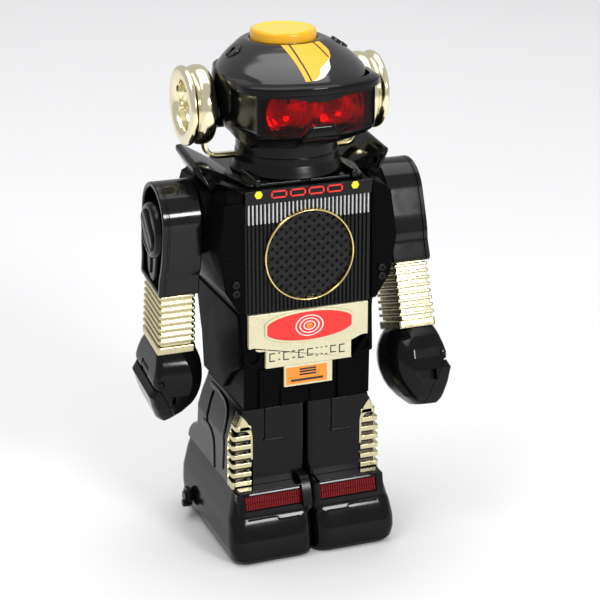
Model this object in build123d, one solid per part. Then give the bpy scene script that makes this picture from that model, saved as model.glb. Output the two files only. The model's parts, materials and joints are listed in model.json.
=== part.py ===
"""Walking toy robot, in millimetres.

+Z is up and the robot faces -Y, so its own right side is -X. The floor is z = 0.
Every sub-part is one node. Names with right_ and left_ use the robot's own sides.
The model is drawn about its button axis and moved along Y at the end, so that the
origin is on the floor at the middle of the bounding box.
"""
from build123d import *
from math import cos, radians, sin
import os

# ---- driving dimensions -------------------------------------------------------------
WALL = 2.0                    # moulded wall thickness
GAP = 0.4                     # free space between moving bodies
RUN = 0.05                    # radial running clearance of pins and shafts

LEG_TOP = 77.4                # legs end here, below the pelvis edge
PELVIS_BOTTOM = 78.0
LEG_INNER_X = 0.5             # half the gap between the feet
FOOT_FRONT = -45.0
FOOT_BACK = 44.0
SHIN_FRONT = -31.0
SHIN_BACK = 25.5

TORSO_FRONT = -32.0
TORSO_BACK = 34.0
SEAM_Y = 2.0                  # front and rear torso shells meet here
DECK_Z = 187.6
PANEL_HALF = 31.7             # chest panel half width
PANEL_FRONT = -34.5
PANEL_BOTTOM = 127.0
FIN_BOTTOM = 171.7
HEADER_BOTTOM = 180.4
FIN_PITCH = 2.0
FIN_COUNT = 31
SPEAKER_Z = 154.0
SPEAKER_R = 22.8
BOLT_ZS = (143.3, 139.0)
CUP = (28.3, 104.6)           # (x, z) of the cup on each side of the badge

NECK_Y = -4.2
NECK_R = 25.0
HEAD_BOTTOM = 205.0
BRIM_Z = 238.7
DOME_TOP = 251.5
BUTTON_R = 15.8
BUTTON_TOP = 256.0
BUTTON_TRAVEL = 2.5
WELL_FLOOR = 247.2
SPRING_R = 8.0
SPRING_TURNS = 3
SPRING_TOP = 253.4            # underside of the button's recess
EAR_Y = 5.0
EAR_Z = 221.0
EAR_R = 19.0
EAR_INNER = 34.0

SHOULDER_Z = 168.5
SHOULDER_R = 18.0
ARM_INNER = 47.0
ARM_OUTER = 66.5
SHOULDER_DROP = 34.8          # shoulder shell reaches this far below the axis
WRIST_DROP = 67.0
RIGHT_ARM_ANGLE = 8.1         # right arm rests swung back, degrees about +X
LEFT_ARM_ANGLE = -19.9        # left arm rests swung forward
JAW_PIN_X = 66.3
JAW_PIN_Z = -80.5

CRANK_Y = -4.0
CRANK_Z = 109.0
MOTOR_Y = 16.0
GEAR_MODULE = 0.8
PINION_TEETH = 10
GEAR_TEETH = 40
CRANK_THROW = 4.0

KNOB_Y = 21.0
KNOB_Z = 10.5
KNOB_R = 5.3
ROLLER_R = 6.5
ROLLER_LIFT = 0.15            # rollers stay this far above the sole plane
ROLLER_YS = {"front": -24.0, "rear": 24.0}

NODES = {}


# ---- small helpers ------------------------------------------------------------------
def block(x0, x1, y0, y1, z0, z1):
    return Pos((x0 + x1) / 2, (y0 + y1) / 2, (z0 + z1) / 2) * Box(x1 - x0, y1 - y0, z1 - z0)


def rod_x(radius, x0, x1, y, z):
    return Pos((x0 + x1) / 2, y, z) * Rot(0, 90, 0) * Cylinder(radius, abs(x1 - x0))


def rod_y(radius, y0, y1, x, z):
    return Pos(x, (y0 + y1) / 2, z) * Rot(90, 0, 0) * Cylinder(radius, abs(y1 - y0))


def rod_z(radius, z0, z1, x, y):
    return Pos(x, y, (z0 + z1) / 2) * Cylinder(radius, z1 - z0)


def outline(points, round_by=0.0):
    if round_by:
        return make_face(FilletPolyline(*points, radius=round_by, close=True))
    return make_face(Polyline(*points, close=True))


def along_x(face, x0, x1):
    """Extrude a (y, z) outline from x0 to x1."""
    return extrude(Plane.YZ.offset(x0) * face, amount=x1 - x0)


def along_y(face, y0, y1):
    """Extrude an (x, z) outline from y0 to y1."""
    return extrude(Plane.XZ.offset(-y1) * face, amount=y1 - y0)


def along_z(face, z0, z1):
    """Extrude an (x, y) outline from z0 to z1."""
    return extrude(Plane.XY.offset(z0) * face, amount=z1 - z0)


def inset(face, amount):
    return offset(face, amount=-amount, kind=Kind.INTERSECTION) if amount else face


def flip(shape):
    """Mirror a right-hand piece to the left side."""
    return mirror(shape, about=Plane.YZ)


def both_sides(shape):
    return shape + flip(shape)


def ellipse_loft(sections, shrink=0.0):
    """Loft through ellipses given as (z, half_x, centre_y, half_y)."""
    faces = []
    for z, half_x, centre_y, half_y in sections:
        faces.append(Pos(0, centre_y, z) * Ellipse(half_x - shrink, half_y - shrink))
    return loft(faces)


def hexagon_y(across, x, z, y0, y1):
    """Hexagonal bar along Y."""
    return along_y(Pos(x, z) * RegularPolygon(across / 2, 6, major_radius=False), y0, y1)


# ---- legs ---------------------------------------------------------------------------
FOOT_FACE_LOW = (-39.6, 25.5)      # (y, z) ends of the sloping face that holds the lens
FOOT_FACE_HIGH = (-37.6, 35.0)
TONGUE_TOP = 91.0                  # slide block inside the pelvis
YOKE_X = (28.4, 30.4)
YOKE_HALF_Y = 14.0
YOKE_TOP = 119.5


def leg_front_outline():
    return outline([(-LEG_INNER_X, 0), (-38.8, 0), (-42.2, 3), (-43.4, 8), (-43.4, 13), (-42.4, 21),
                    (-38.6, 36), (-38.2, 60), (-33.2, 75), (-32.6, LEG_TOP), (-LEG_INNER_X, LEG_TOP)])


def leg_side_outline():
    return outline([(FOOT_FRONT + 1, 0), (FOOT_FRONT, 3), (FOOT_FRONT, 15), (-43.4, 20), (-41, 23.4),
                    FOOT_FACE_LOW, FOOT_FACE_HIGH, (-36.6, 35.8), (SHIN_FRONT, 35.8),
                    (SHIN_FRONT, LEG_TOP), (SHIN_BACK, LEG_TOP), (26.4, 58), (27.2, 50), (30, 47.5), (36, 44),
                    (39, 41.5), (42.4, 38), (FOOT_BACK, 32), (FOOT_BACK, 10), (41, 3), (40, 0)])


def leg_plan_outline():
    corners = [(-LEG_INNER_X, FOOT_FRONT), (-43.4, FOOT_FRONT), (-43.4, FOOT_BACK), (-LEG_INNER_X, FOOT_BACK)]
    return outline(corners, round_by=7.0)


def leg_form(shrink=0.0):
    """Closed outer form of the right leg and foot, or the same form shrunk inwards."""
    front = along_y(inset(leg_front_outline(), shrink), FOOT_FRONT - 1, FOOT_BACK + 1)
    side = along_x(inset(leg_side_outline(), shrink), -45, 0)
    plan = along_z(inset(leg_plan_outline(), shrink), -1, LEG_TOP + 1)
    return front & side & plan


def foot_face_pocket(x0, x1, z0, z1, depth, proud=0.0):
    """Slanted block on the sloping lens face, from proud of it to depth behind it."""
    (y_low, z_low), (y_high, z_high) = FOOT_FACE_LOW, FOOT_FACE_HIGH
    slope = (y_high - y_low) / (z_high - z_low)
    near = y_low + (z0 - z_low) * slope
    far = y_low + (z1 - z_low) * slope
    face = outline([(near - proud, z0), (far - proud, z1), (far + depth, z1), (near + depth, z0)])
    return along_x(face, x0, x1)


def grille_pocket(grow=0.0):
    """Corner space that the shin grille fills on the right leg."""
    face = outline([(-28.2 + grow, 35.8), (-28.2 + grow, 64), (-31.5, 74.5), (-40, 76.5), (-40, 35.8)])
    return along_y(face, SHIN_FRONT - 2, -23.6 + grow)


def leg_shell():
    """Hollow right leg and foot, with its slide block and yoke inside the pelvis."""
    cavity = leg_form(WALL) + block(-38.3, -LEG_INNER_X - WALL, FOOT_FRONT + 5, FOOT_BACK - 5, -1, 4)
    lens = foot_face_pocket(-36.3, -4.4, 26.8, 34.7, 2.6, 1)
    liner = foot_face_pocket(-38, -2.6, 25.6, 35.6, 4.6)
    corner = grille_pocket()
    corner_liner = grille_pocket(WALL) & leg_form()
    solid = leg_form() - cavity + (liner & leg_form()) + corner_liner - lens
    solid -= corner
    solid += block(-30, -4, -22, 22, LEG_TOP - WALL, TONGUE_TOP)
    solid -= block(-28, -6, -20, 20, LEG_TOP - 2 * WALL, TONGUE_TOP - WALL)
    solid += yoke_plate()
    solid += block(-24.5, -16.5, SHIN_FRONT - 0.9, SHIN_FRONT + 0.5, 59, LEG_TOP)
    solid -= rod_x(2.4 + RUN, -46, -38, KNOB_Y, KNOB_Z)
    return solid


def yoke_plate():
    """Upright plate with the window that the crank pin passes through."""
    plate = block(-YOKE_X[1], -YOKE_X[0], CRANK_Y - YOKE_HALF_Y, CRANK_Y + YOKE_HALF_Y, 88, YOKE_TOP)
    window = block(-YOKE_X[1] - 1, -YOKE_X[0] + 1, CRANK_Y - 10.2, CRANK_Y + 10.2,
                   CRANK_Z - 6.2, CRANK_Z + 6.2)
    return plate + block(-30.4, -28, CRANK_Y - YOKE_HALF_Y, CRANK_Y + YOKE_HALF_Y, 86, TONGUE_TOP) - window


def bridge_outline():
    """Side outline of the strap that hangs over the front between the feet."""
    return outline([(-30.8, 41.6), (-33.5, 41.9), (-37.0, 40.5), (-40.5, 36), (-43.5, 30), (-46.6, 24.6),
                    (-47.2, 22.4), (-45.8, 21.6), (-44.2, 23.4), (-41.6, 28), (-39.2, 34), (-36, 38.6),
                    (-30.8, 39.4)])


def foot_bridge():
    """Curved strap, carried by the right leg, that covers the gap between the feet."""
    return along_x(bridge_outline(), -5.9, -0.7) - leg_form()


def foot_lens():
    """Ribbed red lens in the right foot's sloping face."""
    lens = foot_face_pocket(-36.1, -4.6, 27.0, 34.5, 2.5, -0.4)
    x = -35.4
    while x < -6.0:
        lens += foot_face_pocket(x, x + 1.1, 27.4, 34.1, 1.0, 0.3)
        x += 2.0
    return lens


def shin_grille():
    """Metallised louvre on the outer front corner of the right shin."""
    body = (grille_pocket() & leg_form()) - leg_form(1.6)
    slots = []
    for step in range(7):
        z = 38.6 + 5.1 * step
        slots.append(block(-36.8, -29.6, SHIN_FRONT - 1, SHIN_FRONT + 0.9, z, z + 2.5))
        slots.append(block(-40, -37.3, SHIN_FRONT + 1, -24.9, z, z + 2.5))
    body -= slots
    return body


def sole_plate():
    """Plate that closes the foot below, with slots and bearing cheeks for two rollers."""
    plan = inset(leg_plan_outline(), 5.2)
    plate = along_z(plan, 0, 2.2)
    for y in ROLLER_YS.values():
        for x in (-28.6, -17.0):
            plate += block(x, x + 2.4, y - 4, y + 4, 2, ROLLER_R + ROLLER_LIFT + 3.5)
        plate -= block(-26.0, -17.2, y - ROLLER_R - 0.8, y + ROLLER_R + 0.8, -1, 5)
        plate -= rod_x(1.5 + RUN, -30, -13, y, ROLLER_R + ROLLER_LIFT)
    return plate


def roller(y):
    """Foot roller with stub axles."""
    z = ROLLER_R + ROLLER_LIFT
    wheel = rod_x(ROLLER_R, -25.4, -17.8, y, z) + rod_x(1.5, -28.4, -14.8, y, z)
    for groove in (-23.6, -20.8):
        end = groove + 0.8
        wheel -= rod_x(ROLLER_R + 1, groove, end, y, z) - rod_x(ROLLER_R - 0.6, groove, end, y, z)
    return wheel


def mode_knob():
    """Fluted knob on the outside of the right heel, with a stub on its face."""
    knob = rod_x(2.4, -45.2, -40.5, KNOB_Y, KNOB_Z) + rod_x(3.4, -47.6, -43.9, KNOB_Y, KNOB_Z)
    knob += rod_x(KNOB_R, -46.6, -44.4, KNOB_Y, KNOB_Z)
    for turn in range(12):
        a = radians(30 * turn)
        knob -= rod_x(0.5, -47, -44, KNOB_Y + KNOB_R * cos(a), KNOB_Z + KNOB_R * sin(a))
    return knob + rod_x(2.0, -49.5, -46.0, KNOB_Y - 3.0, KNOB_Z - 2.0)


# ---- torso --------------------------------------------------------------------------
def torso_front_outline():
    half = [(32.6, PELVIS_BOTTOM), (32.6, 100), (33.0, 112), (33.8, 126.5), (42, 139.6), (45, 159),
            (41.5, 182), (PANEL_HALF, DECK_Z)]
    return outline([(-x, z) for x, z in half] + [(x, z) for x, z in reversed(half)])


def torso_side_outline():
    return outline([(-31.5, PELVIS_BOTTOM), (TORSO_FRONT, 100), (TORSO_FRONT, DECK_Z), (30, DECK_Z),
                    (TORSO_BACK, 178), (TORSO_BACK, 110), (30, PELVIS_BOTTOM)])


def torso_form(shrink=0.0):
    front = along_y(inset(torso_front_outline(), shrink), -40, 40)
    return front & along_x(inset(torso_side_outline(), shrink), -50, 50)


def torso_hollow():
    """Torso walls, open below for the legs, with holes for the arms, speaker and button lead."""
    mouth = block(-30.4, 30.4, -29.4, 28.2, PELVIS_BOTTOM - 1, PELVIS_BOTTOM + 6)
    walls = torso_form() - torso_form(WALL) - mouth
    for side in (-1, 1):
        walls += rod_x(19.0, side * 40.5, side * 46.4, 0, SHOULDER_Z)
        walls -= rod_x(4 + RUN, side * 38, side * 48, 0, SHOULDER_Z)
        bearing = rod_x(6.5, side * 36.5, side * 41, 0, SHOULDER_Z)
        walls += bearing - rod_x(4 + RUN, side * 36, side * 42, 0, SHOULDER_Z)
    return walls


def door_opening():
    return block(-30, 30, TORSO_BACK - 6, TORSO_BACK + 1, 122, 176)


def torso_front_shell(walls):
    """Front half: pelvis panels, chest wall and the two shoulder blocks."""
    shell = walls & block(-60, 60, -60, SEAM_Y, 0, 260)
    cheek = outline([(32.1, 182), (41.5, 182), (45, 159), (42, 139.6), (34.6, 128), (32.1, 128)])
    cheek_block = along_y(cheek, TORSO_FRONT - 2.2, TORSO_FRONT + 0.5)
    bolt_seats = [rod_y(1.2, TORSO_FRONT - 5, TORSO_FRONT + 1, side * 37, z) for side in (-1, 1)
                  for z in BOLT_ZS]
    shell += both_sides(cheek_block)
    shell -= bolt_seats
    shell += both_sides(block(15.5, 25.0, TORSO_FRONT - 1.4, TORSO_FRONT + 0.8, PELVIS_BOTTOM, 97.5))
    cup = rod_y(4.6, TORSO_FRONT - 2.4, TORSO_FRONT + 0.6, *CUP)
    shell += both_sides(cup - rod_y(3.0, TORSO_FRONT - 3, TORSO_FRONT - 0.8, *CUP))
    shell -= rod_y(SPEAKER_R - 2.5, -40, -28, 0, SPEAKER_Z)
    return shell - rod_z(8, 180, 192, 0, NECK_Y)


def torso_rear_shell(walls):
    """Rear half, with the battery bay and the door's opening."""
    shell = walls & block(-60, 60, SEAM_Y, 60, 0, 260)
    shell -= door_opening()
    bay = block(-32, 32, 14.5, TORSO_BACK - 2.6, 120, 178) - block(-30.6, 30.6, 16, TORSO_BACK, 122, 176)
    shell += bay
    for z in (119.4, 178.6):
        shell += block(-31, 31, TORSO_BACK - 3, TORSO_BACK - 0.5, z - 2.6, z + 2.6)
    shell -= block(-30, 30, TORSO_BACK - 2.9, TORSO_BACK + 1, 122, 176)
    shell -= door_hinge_space()
    for x, z in SCREW_PLACES:
        shell -= rod_y(2.7, TORSO_BACK - 3, TORSO_BACK + 1, x, z)
        shell -= rod_y(1.45, TORSO_BACK - 6, TORSO_BACK + 1, x, z)
    return shell - rod_z(8, 180, 192, 0, NECK_Y)


SCREW_PLACES = [(-25, 96), (25, 96), (-37.5, 150), (37.5, 150), (-24, 106), (24, 106)]


def shell_screws():
    """Pan-head screws at the back of the torso."""
    screws = []
    for x, z in SCREW_PLACES:
        head = rod_y(2.6, TORSO_BACK - 2.9, TORSO_BACK - 1.2, x, z)
        shank = rod_y(1.4, TORSO_BACK - 6, TORSO_BACK - 2.9, x, z)
        cross = block(x - 1.6, x + 1.6, TORSO_BACK - 1.8, TORSO_BACK, z - 0.3, z + 0.3)
        cross += block(x - 0.3, x + 0.3, TORSO_BACK - 1.8, TORSO_BACK, z - 1.6, z + 1.6)
        screws.append(head + shank - cross)
    return Compound(screws)


DOOR_PIVOT = (TORSO_BACK - 1.6, 123.6)


def door_hinge_space():
    return rod_x(2.2, -30, 30, *DOOR_PIVOT)


def battery_door():
    """Ribbed lid of the battery bay, hinged along its lower edge."""
    y, z = DOOR_PIVOT
    lid = block(-29.6, 29.6, y - 1.0, y + 1.0, z, 175.6)
    lid += rod_x(1.0, -29.6, 29.6, y, z)
    for rib in range(5):
        lid += block(-9, 9, y + 0.9, y + 1.5, 160 + 2.4 * rib, 161.2 + 2.4 * rib)
    return lid


def battery_cells():
    """Four upright cells side by side."""
    cells = []
    for place in range(4):
        x = -22.5 + 15 * place
        cell = rod_z(7.1, 123.4, 172.4, x, 23.6) + rod_z(2.6, 172.4, 173.6, x, 23.6)
        cells.append(cell)
    return Compound(cells)


def chest_panel():
    """Ribbed centre panel of the chest with its flat header strip."""
    body = block(-PANEL_HALF, PANEL_HALF, PANEL_FRONT + 1.1, TORSO_FRONT, PANEL_BOTTOM, DECK_Z)
    body += block(-PANEL_HALF, PANEL_HALF, PANEL_FRONT, TORSO_FRONT, HEADER_BOTTOM, DECK_Z)
    ribs = []
    for place in range(FIN_COUNT):
        x = FIN_PITCH * (place - (FIN_COUNT - 1) / 2)
        ribs.append(block(x - 0.55, x + 0.55, PANEL_FRONT + 0.1, PANEL_FRONT + 1.2, PANEL_BOTTOM, FIN_BOTTOM))
    body += ribs
    body -= rod_y(SPEAKER_R + 0.05, -40, TORSO_FRONT + 1, 0, SPEAKER_Z)
    return body


def chest_fins():
    """Bright upright fins along the top of the chest panel."""
    fins = block(-31.2, 31.2, PANEL_FRONT + 0.7, PANEL_FRONT + 1.1, FIN_BOTTOM, HEADER_BOTTOM)
    bars = []
    for place in range(FIN_COUNT):
        x = FIN_PITCH * (place - (FIN_COUNT - 1) / 2)
        bars.append(block(x - 0.55, x + 0.55, PANEL_FRONT - 0.1, PANEL_FRONT + 0.8,
                          FIN_BOTTOM, HEADER_BOTTOM - 0.2))
    fins += bars
    return fins - rod_y(SPEAKER_R + 0.05, -40, TORSO_FRONT + 1, 0, SPEAKER_Z)


def header_sticker():
    """Thin strip with a plain row of bars between two hexagons."""
    marks = [hexagon_y(3.6, side * 24.1, 184.2, PANEL_FRONT - 0.25, PANEL_FRONT) for side in (-1, 1)]
    for place in range(4):
        x = -11.1 + 7.4 * place
        ring = block(x - 3.1, x + 3.1, PANEL_FRONT - 0.25, PANEL_FRONT, 182.2, 186.2)
        marks.append(ring - block(x - 2.4, x + 2.4, PANEL_FRONT - 1, PANEL_FRONT + 1, 182.9, 185.5))
    return Compound(marks)


def speaker_ring():
    ring = rod_y(SPEAKER_R, PANEL_FRONT - 1.6, TORSO_FRONT, 0, SPEAKER_Z)
    return ring - rod_y(SPEAKER_R - 1.3, -60, 0, 0, SPEAKER_Z)


def speaker_grille():
    """Round grille with a diamond lattice of openings."""
    plate = rod_y(SPEAKER_R - 1.4, PANEL_FRONT + 0.2, PANEL_FRONT + 1.8, 0, SPEAKER_Z)
    holes = []
    pitch = 4.6
    for row in range(-8, 9):
        for column in range(-8, 9):
            if (row + column) % 2:
                continue
            x, z = column * pitch / 2, row * pitch / 2
            if x * x + z * z < (SPEAKER_R - 4.0) ** 2:
                holes.append(rod_y(0.8, -40, -30, x, SPEAKER_Z + z))
    return plate - holes


def speaker_driver():
    """Loudspeaker: basket, cone and magnet behind the grille."""
    basket = rod_y(20.2, -29.8, -28.0, 0, SPEAKER_Z)
    basket += Pos(0, -24.0, SPEAKER_Z) * Rot(-90, 0, 0) * Cone(19.0, 9.0, 8.0)
    basket += rod_y(11.0, -20.2, -13.0, 0, SPEAKER_Z)
    return basket - Pos(0, -26.6, SPEAKER_Z) * Rot(-90, 0, 0) * Cone(16.5, 5.0, 6.6)


def badge_outline():
    half = [(22.2, 98.6), (22.2, 107.6), (27.4, 107.6), (27.4, 109.6), (30.6, 109.6), (30.6, 126.7)]
    return outline([(-x, z) for x, z in half] + [(x, z) for x, z in reversed(half)])


def badge_plate():
    """Stepped metallised plate below the chest panel."""
    plate = along_y(badge_outline(), PANEL_FRONT, TORSO_FRONT)
    cut = both_sides(rod_y(4.7, -40, -30, *CUP))
    return plate - cut


def badge_emblem():
    """Lens-shaped raised emblem."""
    rise = 7.2
    half = 21.7
    radius = (half ** 2 + rise ** 2) / (2 * rise)
    lens = rod_y(radius, PANEL_FRONT - 0.5, PANEL_FRONT, 0, 118.4 + rise - radius)
    return lens & rod_y(radius, PANEL_FRONT - 0.5, PANEL_FRONT, 0, 118.4 - rise + radius)


def badge_label():
    """Small framed label under the badge."""
    return block(-12.5, 12.5, TORSO_FRONT - 1.6, TORSO_FRONT, 87.4, 98.2)


def chest_bolts():
    """Hexagon bolts on the shoulder blocks."""
    bolts = []
    for side in (-1, 1):
        for z in BOLT_ZS:
            head = hexagon_y(3.6, side * 37, z, TORSO_FRONT - 3.6, TORSO_FRONT - 2.2)
            bolts.append(head + rod_y(1.15, TORSO_FRONT - 2.3, TORSO_FRONT + 0.6, side * 37, z))
    return Compound(bolts)


# ---- deck, collar and neck ----------------------------------------------------------
def collar_wing():
    """Right wing: flares from the deck up and out over the arm."""
    base = Plane.XY.offset(183) * outline([(-41.5, -17), (-20, -10), (-20, 24), (-41, 21)])
    tip = Plane.XY.offset(197.5) * outline([(-49.8, -13), (-47.6, -12.4), (-46.6, 18.4), (-48.8, 18)])
    return loft([base, tip]) - torso_form() - rod_x(19.0, -47, -40, 0, SHOULDER_Z)


def collar():
    """Deck plate round the neck with two flared wings and two rails."""
    plate = outline([(-29, -30), (-33, -12), (-33, 22), (-22, 30), (22, 30), (33, 22), (33, -12), (29, -30)])
    solid = along_z(plate, DECK_Z, DECK_Z + 2.2)
    solid += both_sides(collar_wing())
    rail = block(-25.6, -22.6, -32, -11, DECK_Z, 192.6)
    rail = fillet(rail.edges().filter_by(Axis.X).group_by(Axis.Z)[-1], 1.4)
    solid += both_sides(rail)
    return solid - rod_z(NECK_R + 0.6, DECK_Z - 1, 215, 0, NECK_Y) - rod_z(NECK_R + 3, 189.8, 215, 0, NECK_Y)


def neck():
    """Round neck tube with a flared foot."""
    profile = outline([(0, DECK_Z), (NECK_R + 0.4, DECK_Z), (NECK_R + 0.4, 190), (NECK_R + 2.6, 190.2),
                       (NECK_R, 195), (NECK_R - 0.6, HEAD_BOTTOM), (0, HEAD_BOTTOM)])
    body = Pos(0, NECK_Y, 0) * revolve(Plane.XZ * profile, axis=Axis.Z)
    return body - rod_z(NECK_R - 4, DECK_Z - 1, HEAD_BOTTOM + 1, 0, NECK_Y)


# ---- head ---------------------------------------------------------------------------
DOME_SECTIONS = [(BRIM_Z, 35, -10, 39.5), (243, 31.8, -8, 34.5), (247, 27.2, -5, 27.5), (250, 22.6, -2, 22.0),
                 (DOME_TOP, 18.6, 0, 18.6)]
SKULL_SECTIONS = [(HEAD_BOTTOM, 25, NECK_Y, 25), (211, 30.5, -3, 29), (219, 34.4, -2, 31.5),
                  (230, 35.4, -2, 32), (BRIM_Z + 0.6, 34.4, -2, 30.6)]
VISOR_HALF = 27.4
VISOR_CORNER_Y = -44.0
VISOR_NOSE_Y = -51.0


def face_plan(shrink=0.0):
    """Plan of the face block: straight cheeks and a bowed front."""
    cheeks = Polyline((-28.9 + shrink, VISOR_CORNER_Y + shrink), (-32.4 + shrink, -10), (32.4 - shrink, -10),
                      (28.9 - shrink, VISOR_CORNER_Y + shrink))
    bow = ThreePointArc((-28.9 + shrink, VISOR_CORNER_Y + shrink), (0, VISOR_NOSE_Y + shrink),
                        (28.9 - shrink, VISOR_CORNER_Y + shrink))
    return make_face(cheeks + bow)


def chin_side():
    """Side outline of the face block, tapering in at the chin."""
    return outline([(-9, HEAD_BOTTOM), (-27, HEAD_BOTTOM), (-38, 209), (-47.5, 214.4), (-54, 217.5),
                    (-54, BRIM_Z), (-9, BRIM_Z)])


def face_form():
    return along_z(face_plan(), HEAD_BOTTOM, BRIM_Z - 2) & along_x(chin_side(), -40, 40)


def window_outline(grow=0.0):
    """Front outline of the visor with its raised nose notch."""
    g = grow
    half = [(VISOR_HALF + g, 217.0 - g), (8.5 - g, 215.6 - g), (5.6 - g, 220.6 - g)]
    bottom = [(x, z) for x, z in half] + [(-x, z) for x, z in reversed(half)]
    return outline(bottom + [(-VISOR_HALF - g, 233.4 + g), (VISOR_HALF + g, 233.4 + g)])


def brim():
    """Crescent ridge over the visor."""
    outer = Spline((-35.2, -20), (-31.2, -42.0), (0, -53.0), (31.2, -42.0), (35.2, -20))
    inner = Line((35.2, -20), (-35.2, -20))
    return along_z(make_face(outer + inner), BRIM_Z - 4.2, BRIM_Z)


def head_face_frame():
    """Face with the visor's window, cheeks, chin and brim."""
    inner = along_z(face_plan(WALL), HEAD_BOTTOM - 1, BRIM_Z - 4.2)
    frame = (face_form() + brim()) - (inner & block(-40, 40, -60, -8, 212, 240))
    frame -= along_y(window_outline(), -60, VISOR_CORNER_Y + 6)
    skull = ellipse_loft(SKULL_SECTIONS)
    return frame - skull


def head_dome():
    """Rounded head shell: dome, rear of the head, side lugs and the button's well."""
    outer = ellipse_loft(DOME_SECTIONS) + ellipse_loft(SKULL_SECTIONS)
    low = ellipse_loft([(z, a - WALL, y, b - WALL) for z, a, y, b in SKULL_SECTIONS])
    high = ellipse_loft([(z - WALL, a - WALL, y, b - WALL) for z, a, y, b in DOME_SECTIONS[:-1]])
    throat = rod_z(NECK_R - 6, HEAD_BOTTOM - 1, HEAD_BOTTOM + 6, 0, NECK_Y)
    shell = outer - (low & block(-50, 50, -60, 50, HEAD_BOTTOM + WALL, 260)) - high - throat
    lug = Pos(-24.5, -1, 245.4) * Rot(0, -48, 0) * Cylinder(4.4, 3.4)
    lug -= Pos(-24.5, -1, 245.4) * Rot(0, -48, 0) * Pos(0, 0, 2.0) * Box(3.0, 3.0, 2.4)
    shell += both_sides(lug)
    shell -= rod_z(BUTTON_R + GAP, WELL_FLOOR, 256, 0, 0)
    shell += rod_z(BUTTON_R + 2, WELL_FLOOR - 2.2, WELL_FLOOR, 0, 0)
    shell -= rod_z(4.0 + RUN, 240, 250, 0, 0)
    for side in (-1, 1):
        shell -= rod_x(3.05, side * 30, side * 36, EAR_Y, EAR_Z)
    return shell - brim()


def visor_lens():
    """Transparent red visor, bowed like the face."""
    plan_outer = face_plan(0.4)
    plan_inner = face_plan(1.9)
    band = along_z(plan_outer, 212, 236) - along_z(plan_inner, 211, 237)
    return band & along_y(window_outline(-0.1), -60, VISOR_CORNER_Y + 4)


def eye_reflector():
    """Pair of reflector bowls behind the visor with a post between them."""
    body = block(-24.5, 24.5, -42.5, -35.5, 217.5, 232.8)
    for side in (-1, 1):
        body -= Pos(side * 13.2, -47.0, 225) * Sphere(10.6)
        body -= rod_y(2.3, -60, -30, side * 13.2, 225)
    body -= block(-2.8, 2.8, -46, -40.6, 218.6, 231.6)
    return body + rod_z(1.5, 218.6, 231.6, 0, -41.2)


def eye_lamps():
    lamps = []
    for side in (-1, 1):
        x = side * 13.2
        lamps.append(rod_y(2.2, -40.0, -33.0, x, 225) + Pos(x, -40.0, 225) * Sphere(2.2))
    return Compound(lamps)


def dome_stripe():
    """Sticker that runs down the front of the dome from the button."""
    sheet = ellipse_loft([(z, a + 0.25, y, b + 0.25) for z, a, y, b in DOME_SECTIONS])
    sheet -= ellipse_loft(DOME_SECTIONS)
    strip = sheet & block(-8.6, 8.6, -60, 0, BRIM_Z + 1.2, DOME_TOP - 0.6)
    return strip - rod_z(BUTTON_R + GAP + 0.4, 200, 300, 0, 0) - brim()


def ear_horn():
    """Right ear: a thick ring with a dished face and a centre pin."""
    profile = outline([(0, 0), (8, 0), (11, 1.2), (15.5, 1.2), (18.2, 3.4), (EAR_R, 7.5), (17.6, 9.4),
                       (18.6, 11), (EAR_R - 0.4, 13.2), (17.4, 14), (13.6, 14), (11.2, 11.0), (9.0, 5.4),
                       (0, 4.4)])
    ring = revolve(Plane.XZ * profile, axis=Axis.Z)
    pin = Pos(0, 0, 8) * Cylinder(1.6, 9) + Pos(0, 0, 12.4) * Sphere(2.5)
    boss = Pos(0, 0, -3.6) * Cylinder(3.0, 7.4)
    return Pos(-EAR_INNER - 1.9, EAR_Y, EAR_Z) * Rot(0, -90, 0) * (ring + pin + boss)


def ear_straps():
    """Bent metallised strips from below each ear into the neck."""
    outer = outline([(-39.6, 203.4), (-38.2, 203.4), (-36.4, 197.6), (-34.6, 196.2), (-22.8, 196.2),
                     (-22.8, 194.6), (-35.4, 194.6), (-37.8, 196.6)])
    strap = along_y(outer, 1.0, 7.0) - rod_z(NECK_R + 0.25, 190, 200, 0, NECK_Y) - ear_horn()
    return Compound([strap, flip(strap)])


def head_button():
    """Round push button with its stem."""
    cap = rod_z(BUTTON_R, WELL_FLOOR + BUTTON_TRAVEL + GAP, BUTTON_TOP, 0, 0)
    cap = fillet(cap.edges().group_by(Axis.Z)[-1], 1.2)
    cap -= rod_z(SPRING_R + 2.5, 249.0, SPRING_TOP, 0, 0)
    return cap + rod_z(4.0, 241.0, SPRING_TOP + 0.5, 0, 0)


def button_spring():
    """Coil spring between the well floor and the button."""
    half_wire = 0.4
    free = SPRING_TOP - WELL_FLOOR - 2 * half_wire - 0.1
    coil = Helix(pitch=free / SPRING_TURNS, height=free, radius=SPRING_R)
    wire = Plane(origin=coil @ 0, z_dir=coil % 0) * Circle(half_wire)
    return Pos(0, 0, WELL_FLOOR + half_wire + 0.05) * sweep(wire, path=coil)


def button_switch():
    """Leaf switch under the button."""
    return block(-7, 7, -5, 5, 233.5, 237.6) + rod_z(1.6, 237.4, 238.2, 0, 0)


# ---- arms ---------------------------------------------------------------------------
def shoulder_outline(shrink=0.0):
    """Side outline: half round over a straight block."""
    r = SHOULDER_R - shrink
    low = -SHOULDER_DROP + shrink
    arc = ThreePointArc((-r, 0), (0, r), (r, 0))
    skirt = Polyline((r, 0), (r - 1, low + 3), (r - 4, low), (-r + 4, low), (-r + 1, low + 3), (-r, 0))
    return make_face(arc + skirt)


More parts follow.
